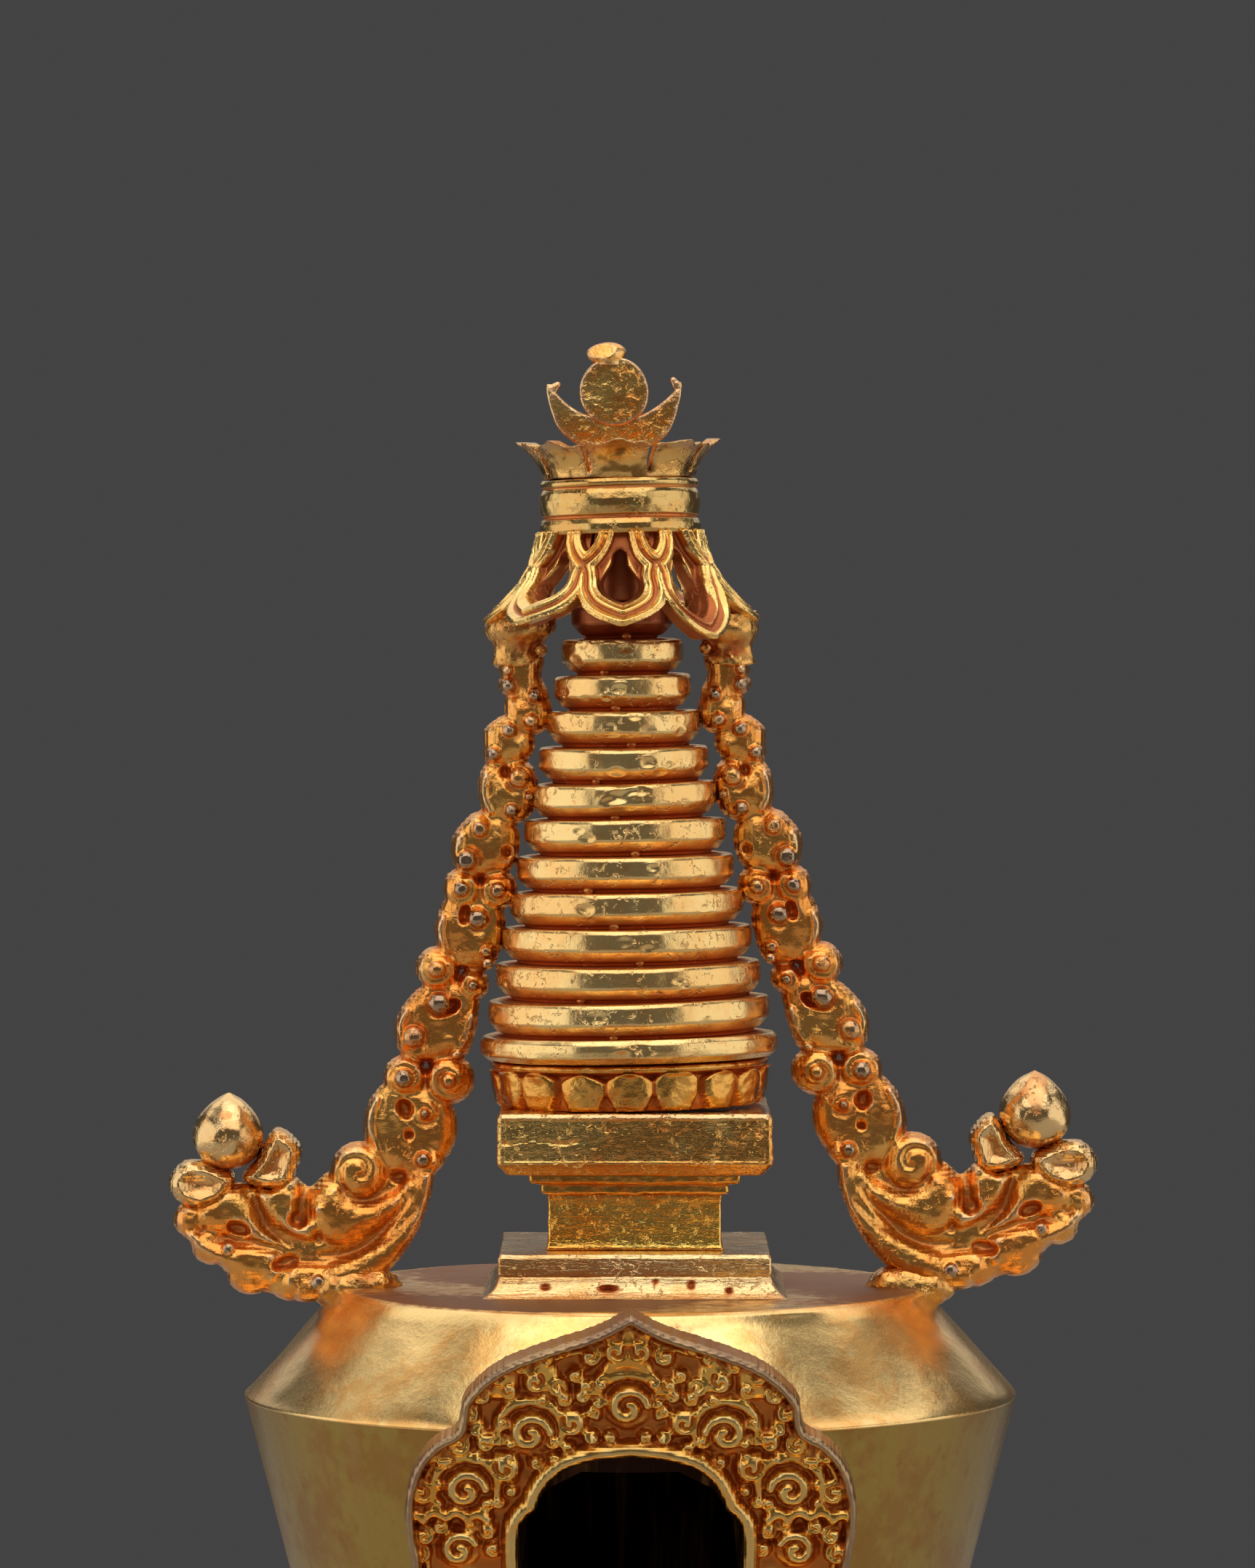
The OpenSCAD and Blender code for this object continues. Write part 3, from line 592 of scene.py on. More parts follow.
M_SHOULDER = metal("gilt_shoulder", pale=(0.93, 0.64, 0.26), warm=(0.88, 0.47, 0.14), rough=0.25, dent=26.0, grain=1.5, speck=0.25,
                   ox_attr=True, ox_col=(0.20, 0.075, 0.045), hue=0.8, off=15.0)
M_NICHE = metal("gilt_niche", pale=(0.74, 0.42, 0.095), warm=(0.70, 0.29, 0.04), rough=0.22, cav=(-0.02, 0.34),
                oxide=(0.50, 0.15, 0.03), dent=18.0, grain=3.0, hue=0.7, edge=(0.66, 0.52, 0.24), edge_amt=0.6, speck=0.25, off=16.0)
M_RIM = metal("gilt_rim", pale=(0.46, 0.29, 0.13), warm=(0.34, 0.19, 0.11), rough=0.30, dent=16.0, grain=4.0, hue=0.9,
              edge=(0.34, 0.23, 0.16), edge_amt=0.4, speck=0.3, off=17.0)
M_LUMP = metal("solder_lumps", pale=(0.78, 0.42, 0.12), warm=(0.52, 0.20, 0.055), rough=0.24, pits=60.0, dent=120.0, grain=14.0, hue=0.9,
               speck=0.6, cav=(0.0, 0.35), off=18.0)
M_JEWEL = metal("gilt_jewels", pale=(0.80, 0.54, 0.25), warm=(0.74, 0.38, 0.12), rough=0.19, pits=70.0, dent=50.0, grain=6.0, speck=0.5,
                oxide=(0.72, 0.24, 0.06), hue=0.7, off=19.0)
M_BASE = metal("gilt_base", pale=(0.88, 0.61, 0.23), warm=(0.80, 0.43, 0.12), rough=0.26, dent=18.0, grain=5.0, speck=0.35,
               oxide=REDDISH, brush=(0.35, 0.35, 3.5), brush_amt=4.0, cav=(0.02, 0.35), off=21.0)
M_PANEL = metal("gilt_panels", pale=(0.88, 0.56, 0.17), warm=(0.82, 0.38, 0.08), rough=0.24, cav=(-0.02, 0.3), dent=18.0,
                oxide=(0.5, 0.15, 0.03), grain=4.0, hue=0.6, off=22.0)
M_COPPER = metal("old_copper", pale=(0.46, 0.20, 0.09), warm=(0.30, 0.11, 0.055), rough=0.36, dent=20.0, grain=6.0,
                 speck=0.6, hue=0.9, oxide=(0.12, 0.04, 0.02), brush=(0.4, 2.5, 0.4), brush_amt=4.0, off=23.0)

# ------------------------------------------------------------------ spire rings
def R_(k):
    return 2.925 + 0.519 * k


def T_(k):
    return 91.94 + 2.325 * (13 - k)


# (ring, degrees from the front, height below the top, across, depth)
DENTS = [(6, -4, 0.8, 0.5, 0.16), (6, -10, 1.1, 0.35, 0.12), (6, 3, 0.5, 0.3, 0.1), (2, 8, 1.7, 0.22, 0.2), (8, 14, 0.7, 0.3, 0.1),
         (9, -20, 1.0, 0.45, 0.12), (10, 9, 1.2, 0.3, 0.12), (11, 22, 0.9, 0.25, 0.14), (11, 25, 1.2, 0.2, 0.14), (12, -12, 0.8, 0.5, 0.12),
         (4, -9, 1.0, 0.3, 0.1), (5, 16, 0.9, 0.4, 0.1), (7, -22, 1.2, 0.4, 0.12), (13, 4, 0.6, 0.5, 0.1), (3, -14, 1.5, 0.25, 0.14)]
rng = np.random.RandomState(5)
for _ in range(90):
    DENTS.append((rng.randint(2, 14), rng.uniform(-180, 180), rng.uniform(0.3, 1.6), rng.uniform(0.15, 0.5), rng.uniform(0.04, 0.13)))
for k in range(1, 14):
    R, t = (3.3 if k == 1 else R_(k)), T_(k)
    low = 2.325 if k < 13 else 1.55
    inner = 1.35
    if k == 13:
        P = [[inner, t], [R - 0.3, t], [R - 0.05, t - 0.3], [R, t - 0.7], [R - 0.05, t - 1.15], [R - 0.5, t - low], [inner, t - low]]
    else:
        P = [[inner, t], [R - 0.4, t], [R - 0.14, t - 0.06], [R - 0.02, t - 0.26], [R, t - 0.5], [R, t - 1.25], [R - 0.06, t - 1.42],
             [R - 0.34, t - 1.74], [R - 0.62, t - 2.02], [R - 0.95, t - 2.12], [R - 1.05, t - low], [inner, t - low]]
    P = dense(P, 0.12, 0.07)
    seg = 224
    V, F = lathe(P, seg)
    th = np.arctan2(V[:, 0], -V[:, 1]); r = np.hypot(V[:, 0], V[:, 1])
    w = np.clip((r - (R - 1.5)) / 1.2, 0, 1)
    Q = V * np.array([1, 1, 0.7]) + k * 17.0
    dr = w * (0.055 * fbm(Q, 0.28, 3, 3) + 0.03 * fbm(Q, 1.1, 3, 8))
    dz = w * (0.045 * np.sin(th + k * 2.1) + 0.035 * np.sin(2 * th + k) + 0.02 * fbm(Q, 0.5, 2, 5))
    for (kk, az, zz, rr, dd) in DENTS:
        if kk == k:
            a = math.radians(az)
            c = np.array([R * math.sin(a), -R * math.cos(a), t - zz])
            q = np.linalg.norm((V - c) * np.array([1, 1, 1.5]), axis=1) / rr
            dr -= dd * np.exp(-q * q) - 0.35 * dd * np.exp(-((q - 1.6) / 0.4) ** 2)
    V[:, 0] += np.sin(th) * dr; V[:, 1] -= np.cos(th) * dr; V[:, 2] += dz
    # red oxide fills the inner part of each ring that sits in the groove; the lower bevel gets more of it as painted
    # shade, and the top outer rim is kept clear of it as a painted highlight
    cav = 0.40 * sstep(0.5, 1.0, R - r) + 0.15 * sstep(1.15, 1.8, t - V[:, 2]) - 0.25 * np.exp(-((R - 0.2 - r) / 0.2) ** 2) * (V[:, 2] > t - 0.5)
    build("wheel_ring_%02d" % k, lean(V), [F], M_RING_OLD if k == 1 else M_RING, ("ring_%02d" % k,), attrs={"cav": cav})

# ------------------------------------------------------------------ canopy drum and cup
P = dense([[0.02, 124.3], [5.1, 124.3], [5.22, 124.6], [5.22, 124.95], [5.08, 125.28], [4.93, 125.33], [4.93, 125.5], [5.1, 125.56],
           [5.22, 126.1], [5.25, 126.5], [5.16, 126.95], [5.02, 127.2], [4.94, 127.26], [4.97, 127.34], [5.1, 127.42], [5.14, 127.62],
           [5.0, 127.86], [0.02, 127.9]], 0.12, 0.05)
V, F = lathe(P, 240)
th = np.arctan2(V[:, 0], -V[:, 1]); r = np.hypot(V[:, 0], V[:, 1])
dr = np.clip(r - 4, 0, 1) * (0.05 * fbm(V, 0.35, 3, 4) + 0.03 * fbm(V, 1.2, 2, 9))
V[:, 0] += np.sin(th) * dr; V[:, 1] -= np.cos(th) * dr
V[:, 2] += np.clip(r - 4, 0, 1) * 0.06 * np.sin(th * 2 + 1)
cav = 0.6 * (np.exp(-((V[:, 2] - 125.4) / 0.16) ** 2) + np.exp(-((V[:, 2] - 127.3) / 0.09) ** 2)) - 0.1
build("canopy_band", lean(V), [F], M_DRUM, ("canopy_drum",), attrs={"cav": cav})


def cell(ang, n):
    """Angle within one of n cells centred on the front, and the cell's number."""
    w = 360.0 / n
    i = np.round(ang / w)
    return ang - i * w, i


v = Vol((-7.4, -7.4, 127.6), (7.4, 7.4, 131.2), 0.085)
X, Y, Z = np.broadcast_arrays(v.X, v.Y, v.Z)
r = np.sqrt(X * X + Y * Y); ang = np.degrees(np.arctan2(X, -Y))
a, ci = cell(ang, 8)
u = np.clip((Z - 127.9) / 2.5, 0, 1.2)
jig = np.sin(ci * 2.7 + 1.0)
rc = 4.64 + 0.38 * u + 1.06 * u ** 2.1 + 0.08 * jig * u
rc = rc + 0.14 * np.cos(np.radians(a * 8)) * u          # each petal bellies a little
th_ = 0.29 + 0.22 * u ** 2
top = 130.12 + 0.13 * np.cos(np.radians(a * 8)) + 0.09 * np.cos(np.radians(a * 20 + 40 * jig)) + 0.07 * jig \
    + 0.06 * np.sin(np.radians(ang * 13)) + 0.03 * np.sin(np.radians(ang * 31))
f = np.abs(r - rc) - th_
slotd = (22.5 - np.abs(a)) * math.pi / 180 * r
slot_w = 0.12 + 0.14 * np.clip(u, 0, 1)
f = np.maximum(f, (slot_w - slotd) * np.where(Z > 128.25, 1.0, -1.0) * np.where(Z > 128.25, 1, 1) - np.where(Z > 128.25, 0, 9))
f = np.maximum(f, (Z - top) * 0.9)
f = np.maximum(f, 127.92 - Z)
flo = np.maximum(np.maximum(r - 4.7, 127.92 - Z), Z - 128.5)
f = smin(f, flo, 0.2)
f = f + 0.03 * vnoise(v.pts(), 1.3, 4)
V, F, cav = surface(v, f, 0.5)
# random stains, and the cup darker towards its foot and paler near the petal tips
stains_dark_low_pale_top = 0.25 + 0.6 * vnoise(V * [1.0, 1.0, 0.8], 1.1, 19) + 0.45 * vnoise(V, 2.6, 23) + 0.30 * sstep(129.6, 128.3, V[:, 2]) - 0.35 * sstep(129.7, 130.1, V[:, 2])
build("canopy_cup", lean(V), [F], M_CUP, ("lotus_cup",), attrs={"cav": cav + 0.45 * ((np.hypot(V[:, 0], V[:, 1]) < 4.9) & (V[:, 2] > 128.4)),
                                                                "ox": np.clip(stains_dark_low_pale_top, 0, 1)})

# ------------------------------------------------------------------ canopy skirt
KA = 0.112
rel = Relief(-2.9, 2.9, 117.0, 125.2, 0.045)
dm = np.full(rel.A.shape, 9.0)
lobe = spline([(0, 119.0), (4, 119.2), (9, 119.5), (14.5, 120.0), (18.2, 120.75), (18.9, 121.4), (19.6, 121.8), (21.8, 122.3)], 6)
uu = spline([(-12.4, 124.9), (-11.6, 124.2), (-9.4, 123.5), (-6.0, 122.95), (-1.5, 122.5), (1.5, 122.5), (6.0, 122.95), (9.4, 123.5), (11.6, 124.2),
             (12.4, 124.9)], 5)
for sx in (-1, 1):
    for pl in (np.stack([lobe[:, 0] * sx, lobe[:, 1]], 1), np.stack([uu[:, 0] + 22.5 * sx, uu[:, 1]], 1)):
        w, d, t = rel.line_d(np.stack([pl[:, 0] * KA, pl[:, 1]], 1), 3.0)
        dm[w] = np.minimum(dm[w], d)
lo_ = np.vstack([(lobe * [-1, 1])[::-1], lobe])
lo_ = np.vstack([lo_, [(22.6, 124.9), (-22.6, 124.9)]])
w, dl = rel.poly_d(lo_ * [KA, 1], 4.0)
web = np.full(rel.A.shape, 9.0); web[w] = -dl
hl = spline([(0, 119.85), (6.5, 120.1), (12.0, 120.7), (12.6, 121.15), (9.5, 121.75), (6.0, 122.3), (4.8, 123.0), (0, 123.3)], 5)
hl = np.vstack([hl, (hl * [-1, 1])[::-1]])
w, dh = rel.poly_d(hl * [KA, 1], 4.0)
hm = np.full(rel.A.shape, -9.0); hm[w] = dh
web = np.maximum(web, hm)


def look(table, A, B):
    i = np.clip((A - rel.a0) / rel.h, 0, rel.na - 2); j = np.clip((B - rel.b0) / rel.h, 0, rel.nb - 2)
    i0, j0 = i.astype(int), j.astype(int)
    fi, fj = i - i0, j - j0
    return ((table[i0, j0] * (1 - fi) + table[i0 + 1, j0] * fi) * (1 - fj)
            + (table[i0, j0 + 1] * (1 - fi) + table[i0 + 1, j0 + 1] * fi) * fj)


v = Vol((-10.2, -10.2, 116.9), (10.2, 10.2, 124.7), 0.095)
X, Y, Z = np.broadcast_arrays(v.X, v.Y, v.Z)
r = np.sqrt(X * X + Y * Y); ang = np.degrees(np.arctan2(X, -Y))
a, ci = cell(ang, 8)
lift = np.array([0.0, -0.55, -0.1, 0.15, -0.1, 0.1, -0.1, 0.35]); drop = np.array([0.0, 0.95, -0.1, 0.1, 0.2, -0.1, -0.2, -0.15])
ii = ci.astype(int) % 8
edge_k = np.cos(np.radians(np.clip(np.abs(a), 0, 22.5) * 4)) * sstep(122.6, 119.5, Z)
Zs = Z + drop[ii] * edge_k
rs = np.interp(Zs, [117.0, 118.7, 119.6, 121.3, 123.1, 124.3, 126], [9.4, 8.7, 7.85, 6.5, 5.55, 5.15, 5.1]) + lift[ii] * edge_k
sn = (r - rs) * 0.82
aa = a + 0.9 * np.sin(ci * 1.9 + Z * 1.3)
aa = np.clip(aa, -25, 25)
d = look(dm, aa * KA, Zs)
wb = look(web, aa * KA, Zs)
o = 0.12 + 0.22 * np.exp(-((d - 0.30) / 0.15) ** 2) - 0.10 * np.exp(-(d / 0.13) ** 2)
f = np.maximum(np.maximum(sn - o, -(sn + 1.5)), d - 0.64)
fw = np.maximum(np.maximum(sn + 0.5, -(sn + 1.5)), wb)
f = smin(f, fw, 0.08)
f = np.maximum(f, Z - 124.5)
f = f + 0.03 * vnoise(v.pts(), 1.1, 6)
V, F, cav = surface(v, f, 0.45)
rr = np.hypot(V[:, 0], V[:, 1]); rso = np.interp(V[:, 2], [117.0, 118.7, 119.6, 121.3, 123.1, 124.3], [9.4, 8.7, 7.85, 6.5, 5.55, 5.15])
cav = cav + 0.5 * sstep(0.25, 0.7, rso - rr)
build("canopy_valance", lean(V), [F], M_CANOPY, ("canopy_skirt",), attrs={"cav": cav})

# ------------------------------------------------------------------ finial
v = Vol((-6.2, -1.1, 127.9), (4.2, 1.1, 135.6), 0.06)
X, Y, Z = np.broadcast_arrays(v.X, v.Y, v.Z)
wob = 0.06 * np.sin(X * 1.7 + 1) + 0.05 * np.sin(Z * 2.1)
f2 = np.hypot(X + 1.0, Z - 133.6) - 4.32 + wob
f2 = np.maximum(f2, 5.23 - np.hypot(X + 1.0, Z - np.where(X < -1, 136.98, 137.02)) + wob * 0.5)
f2 = np.maximum(f2, Z - np.where(X < -1, 134.0, 134.3))
for (cx, cz, rr) in ((-4.92, 133.75, 0.28), (-4.68, 133.95, 0.2), (3.0, 133.95, 0.28), (2.8, 134.25, 0.2)):
    f2 = smin(f2, np.hypot(X - cx, Z - cz) - rr, 0.2)
stem = np.maximum(np.maximum(np.abs(X + 1.0) - 1.7 - 0.3 * sstep(129.5, 128.2, Z), Z - 130.8), 128.3 - Z)
f2 = smin(f2, stem, 0.4)
ty = 0.42 - 0.12 * sstep(133.2, 134.4, Z)
q2 = np.stack([X, Z, 0 * X], -1)
nz = 0.035 * vnoise(q2, 2.2, 3) + 0.02 * vnoise(q2, 5.5, 5)
fy = np.abs(Y) - ty - nz
f = np.maximum(f2, fy) + 0.0
k = 0.16
f = np.where((f2 > -k) & (fy > -k), np.hypot(np.maximum(f2 + k, 0), np.maximum(fy + k, 0)) - k, f)
V, F, cav = surface(v, f, 0.4)
build("finial_moon", V, [F], M_FINIAL, ("crescent_moon",), attrs={"cav": cav * 1.2})
v = Vol((-3.6, -1.1, 130.9), (1.6, 1.1, 136.1), 0.055)
X, Y, Z = np.broadcast_arrays(v.X, v.Y, v.Z)
q2 = np.stack([X, Z, 0 * X + 4], -1)
f2 = np.hypot(X + 1.03, Z - 133.5) - 2.24 - 0.04 * vnoise(q2, 0.9, 3)
fy = np.abs(Y) - 0.6 - 0.04 * vnoise(q2, 2.4, 3) - 0.02 * vnoise(q2, 6.0, 5)
f = np.where((f2 > -k) & (fy > -k), np.hypot(np.maximum(f2 + k, 0), np.maximum(fy + k, 0)) - k, np.maximum(f2, fy))
V, F, cav = surface(v, f, 0.4)
build("finial_sun", V, [F], M_FINIAL, ("sun_disc",), attrs={"cav": cav * 1.2})
v = Vol((-3.2, -1.3, 134.9), (0.3, 1.3, 136.9), 0.05)
X, Y, Z = np.broadcast_arrays(v.X, v.Y, v.Z)
c, s_ = math.cos(math.radians(5)), math.sin(math.radians(5))
xa, za = (X + 1.55) * c + (Z - 135.98) * s_, -(X + 1.55) * s_ + (Z - 135.98) * c
f = (np.sqrt((xa / 1.27) ** 2 + (Y / 1.0) ** 2 + (za / 0.70) ** 2) - 1) * 0.7
f = smin(f, np.maximum(np.hypot(X + 1.35, Y) - 0.85, np.abs(Z - 135.6) - 0.35), 0.25)
f = np.maximum(f, (-Y * 0.86 - (X + 1.6) * 0.25 + (Z - 136.0) * 0.42) - 0.66)
f = f + 0.04 * vnoise(v.pts(), 1.6, 4)
V, F, cav = surface(v, f, 0.3)
build("finial_jewel", V, [F], M_FINIAL, ("jewel_bead",), attrs={"cav": cav})

# ------------------------------------------------------------------ petal collar
n_p = 17
P = dense([[1.35, 87.36], [8.35, 87.36], [8.45, 87.7], [8.5, 88.3], [8.5, 89.0], [8.5, 89.6], [8.62, 89.75], [8.95, 89.88], [9.02, 90.08],
           [8.9, 90.26], [8.4, 90.42], [1.35, 90.43]], 0.11, 0.04)
seg = n_p * 26
V, F = lathe(P, seg)
th = np.degrees(np.arctan2(V[:, 0], -V[:, 1])); r = np.hypot(V[:, 0], V[:, 1]); z = V[:, 2].copy()
a, ci = cell(th, n_p)
an = a / (180.0 / n_p)
an = an + 0.08 * np.sin(ci * 2.3)
zt = 89.15 + 0.1 * np.sin(ci * 1.7)
wz = 0.66 + 0.32 * sstep(87.3, 88.7, z)
wz = np.where(z > zt, 0.98 * np.sqrt(np.clip(1 - ((z - zt) / 0.66) ** 2, 0, 1)), wz)
q = np.abs(an) / np.maximum(wz, 0.02)
bul = (0.40 + 0.06 * np.sin(ci * 3.1) + 0.13 * (z - 88.3)) * np.sqrt(np.clip(1 - q ** 3.0, 0, 1)) * sstep(87.30, 87.9, z + 0.25) * (z < 89.8) * (r > 8.2)
dr = bul - 0.3 * (q > 1) * (z < 89.7) * (r > 8.2)
dr += (r > 8) * (0.09 * fbm(V, 0.9, 3, 3))
tr = np.radians(th)
V[:, 0] += np.sin(tr) * dr; V[:, 1] -= np.cos(tr) * dr
# the gaps between the petals take red oxide; the petal middles and the top lip are kept clear of it, a faint painted
# highlight
cav = 0.55 * (q > 0.93) * (z < 89.85) - 0.12 * (q < 0.6) - 0.15 * (z > 89.9)
build("lotus_collar", lean(V), [F], M_COLLAR, ("petal_collar",), attrs={"cav": cav})


# ------------------------------------------------------------------ harmika
def block(name, profile, rc, mat, node, amp=0.03, cav=None, side=90, step=0.16, rnd=0.1, cx=HAR_X, extra=None,
          sc=0.5):
    P = dense(profile, step, rnd)
    hw = np.max(P[:, 0])

    def fn(U, I, V):
        w = np.clip((P[:, 0] - hw * 0.55) / (hw * 0.3), 0, 1)[I]
        q = V + np.array([cx * 3 + 5, 2, 0])
        off = w * amp * (fbm(q, sc, 3, 5) + 0.5 * fbm(q, sc * 3.5, 2, 7))
        dz = w * amp * 0.9 * fbm(q, sc * 0.8, 2, 11)
        if extra is not None:
            o2 = extra(U, P[:, 0][I], P[:, 1][I], V)
            off = off + o2
        return off, dz
    V, F = square_lathe(P, rc, side, 6, fn)
    V[:, 0] += cx
    m = len(P)
    c = np.zeros(len(V)) if cav is None else cav(P[:, 0][np.tile(np.arange(m), len(V) // m)], P[:, 1][np.tile(np.arange(m), len(V) // m)], V)
    return build(name, V, [F], mat, node, attrs={"cav": c})


def slab_extra(U, hw, z, V):
    side = np.exp(-((np.abs(U) - 8.15) / 0.16) ** 2)
    face = (z > 84.2) & (z < 86.9) & (hw > 8.5)
    e = np.where(face & (np.abs(U) < 8.0), -0.07, 0) - 0.10 * side * face
    q = V * 1.0
    e = e + face * 0.035 * fbm(q, 2.4, 2, 21) * sstep(-5.2, -3.6, V[..., 0])
    crack = np.abs(V[..., 2] - (85.45 + 0.12 * np.sin(V[..., 0] * 1.7))) < 0.07
    return e - 0.10 * (crack & face & (V[..., 0] < -3.4) & (V[..., 1] < 0))


# the slab's top edge takes the pale edge colour, a painted highlight, and its bottom bevel takes a little oxide,
# painted shade
block("harmika_top_slab", [[0, 83.3], [8.2, 83.3], [8.45, 83.6], [8.8, 84.0], [8.82, 84.3], [8.82, 85.2], [8.8, 86.2], [8.8, 86.95],
                           [8.62, 87.26], [0, 87.3]], 0.42, M_SLAB, ("harmika_slab",), 0.035, side=130, step=0.14, rnd=0.08,
      cav=lambda hw, z, V: 0.15 * (z < 83.45) - 0.4 * (z > 86.9) * (hw > 8.3), extra=slab_extra)
block("harmika_stepped_cornice", [[0, 81.9], [5.9, 81.9], [6.0, 82.05], [6.0, 82.5], [6.6, 82.6], [6.75, 82.75], [6.75, 83.2], [6.6, 83.3],
                                  [0, 83.3]], 0.25, M_COLLAR, ("harmika_cornice",), 0.05, rnd=0.05,
      cav=lambda hw, z, V: 0.25 * np.exp(-((z - 82.5) / 0.1) ** 2), sc=1.2)
block("harmika_waist", [[0, 78.3], [5.75, 78.3], [5.62, 78.5], [5.55, 78.9], [5.55, 80.0], [5.55, 81.2], [5.6, 81.75], [5.62, 81.9],
                        [0, 81.9]], 0.18, M_HARM, ("harmika_neck",), 0.03,
      cav=lambda hw, z, V: 0.22 * np.exp(-((z - 81.8) / 0.35) ** 2) + 0.25 * np.exp(-((z - 78.3) / 0.2) ** 2))
PITS = [(-1.4, 76.1, 0.55, 0.16, 0.5), (3.9, 76.3, 0.2, 0.2, 0.3), (-5.4, 76.2, 0.25, 0.15, 0.3), (6.3, 76.0, 0.2, 0.15, 0.3), (1.6, 76.5, 0.15, 0.1, 0.2)]


def plinth_extra(U, hw, z, V):
    e = 0 * U
    for (x, zz, ra, rb, dd) in PITS:
        q = ((V[..., 0] + HAR_X - x) / ra) ** 2 + ((V[..., 2] - zz) / rb) ** 2
        e = e - dd * np.exp(-q * q) * (V[..., 1] < -7)
    return e


def plinth_cav(hw, z, V):
    c = 0.12 * np.exp(-((z - 76.7) / 0.2) ** 2) - 0.3 * np.exp(-((z - 78.2) / 0.1) ** 2) + 0.15 * (z < 75.8)
    for (x, zz, ra, rb, dd) in PITS:
        q = ((V[:, 0] - x) / (ra * 1.3)) ** 2 + ((V[:, 2] - zz) / (rb * 1.5)) ** 2
        c = c + 0.7 * np.exp(-q) * (V[:, 1] < -7)
    return c


block("harmika_foot", [[0, 75.5], [9.75, 75.5], [9.6, 75.58], [9.28, 75.82], [9.02, 76.1], [8.84, 76.4], [8.72, 76.76], [8.64, 76.84], [8.72, 76.93],
                       [8.75, 77.3], [8.74, 78.0], [8.6, 78.26], [0, 78.3]], 0.22, M_FOOT, ("harmika_plinth",), 0.03, side=130,
      step=0.14, rnd=0.04, cav=plinth_cav, extra=plinth_extra)

# ------------------------------------------------------------------ dome
P = dense([[1.6, 75.5], [18.7, 75.5], [19.1, 75.25], [25.02, 68.62], [25.0, 68.45], [23.7, 68.45], [18.1, 74.6], [1.6, 74.6]], 0.45, 0.07)
V, F = lathe(P, 300)
th = np.arctan2(V[:, 0], -V[:, 1]); r = np.hypot(V[:, 0], V[:, 1]); z = V[:, 2].copy()
slope = sstep(75.3, 74.8, z) * sstep(68.5, 69.0, z)
dn = slope * (0.20 * fbm(V, 0.085, 2, 3) + 0.05 * fbm(V, 0.3, 2, 6)) + 0.06 * (z > 75.4) * fbm(V, 0.2, 3, 8)
V[:, 0] += np.sin(th) * dn * 0.73; V[:, 1] -= np.cos(th) * dn * 0.73
V[:, 2] += dn * 0.68 + 0.05 * np.sin(3 * th) * slope * 0.5
top = (z > 75.3) & (r < 19.2)
ox = np.where(top, 0.75 + 0.25 * np.sin(th * 3 + r * 0.2), 0.12 + 0.3 * sstep(0.2, 0.6, vnoise(V, 0.12, 9)))
rim = np.exp(-((r - 18.95) / 0.3) ** 2) * (z > 75)
build("dome_top", V, [F], M_SHOULDER, ("dome_shoulder",), attrs={"cav": -0.3 * rim + 0.1 * (z < 68.9), "ox": ox - 0.5 * rim})

# ------------------------------------------------------------------ niche frame
CL, SL = math.cos(LB), math.sin(LB)


def pl(px, py, n=1.4):
    """Where a point seen straight from the front lies on the frame's own plane."""
    dep = 20.0
    for _ in range(4):
        k = 1 - dep / 484.4
        x = (px - 866) * 0.04717 * k
        z = (3370 - (823 + (py - 823) * k)) * 0.04717
        y = (z - Z_WALL + n * SL) / CL
        dep = R_WALL0 + y * SL + n * CL
    return x, y


def plm(pts):
    return [pl(a, b) for a, b in pts]


OUT = [(11.4, 1), (12.2, 6), (12.8, 11), (13.5, 17), (13.9, 19.5), (13.9, 21.6), (13.3, 23.8), (12.1, 25.3), (10.8, 26.1), (10.5, 27.0),
       (10.2, 28.3), (8.2, 30.2), (5.2, 31.5), (2.2, 32.5), (0.01, 33.7)]
MOU = [(5.6, 3.2), (6.2, 10), (6.8, 17), (6.8, 19.4), (6.4, 20.3), (5.8, 20.9), (5.5, 21.7), (4.9, 22.7), (3.7, 23.6), (1.9, 24.1), (0.01, 24.3)]
outl = spline([(x, y) for x, y in OUT], 4); outl = np.vstack([outl, (outl * [-1, 1])[::-1]])
moul = spline([(x, y) for x, y in MOU], 4); moul = np.vstack([moul, (moul * [-1, 1])[::-1]])
rel = Relief(-15.2, 15.2, 0.2, 34.6, 0.07)
w, dO = rel.poly_d(outl, 40); w2, dM = rel.poly_d(moul, 40)
S = np.minimum(dO, -dM)
H = np.full(S.shape, 0.30)
rel.H = np.where(S > 0, H, 0)


def curl(px, py, r, start=150, flip=1, turn=0.8, mir=True, up=0.9):
    """A fat scroll that rolls in on itself, r in the drawing's own units."""
    a, b = pl(px, py)
    R0 = r * 0.0462
    for (aa, fl) in ([(a, flip), (pl(2 * 862 - px, py)[0], -flip)] if mir else [(a, flip)]):
        if r > 20:
            rel.disc(aa, b, R0 * 1.05, 0.62, R0 * 0.4, outline=False)
            t = np.linspace(0, 1, 40)
            ang = math.radians(start) + 2 * math.pi * 1.18 * t
            rr = R0 * (0.76 - 0.62 * t)
            rel.stroke(np.stack([aa + fl * rr * np.cos(ang), b + rr * np.sin(ang)], 1), R0 * 0.33, 0.55, 0.95, (0.7, 0.8))
        else:
            R1 = R0 * 1.25
            rel.disc(aa, b, R1, 1.35, R1, outline=False)
            sp = spiral(0, 0, R1 * 0.66, R1 * 0.10, start, -0.7, 14)
            rel.groove(np.stack([aa + fl * sp[:, 0], b + sp[:, 1]], 1), 0.09 + 0.03 * (r > 11), 0.5)


def leafy(pts, top=0.9, edge=0.7, mir=True, cs=862):
    for q in ([pts, [(2 * cs - x, y) for x, y in pts]] if mir else [pts]):
        rel.body(spline(plm(q), 4, True), top * 1.25, edge * 1.9, outline=False)


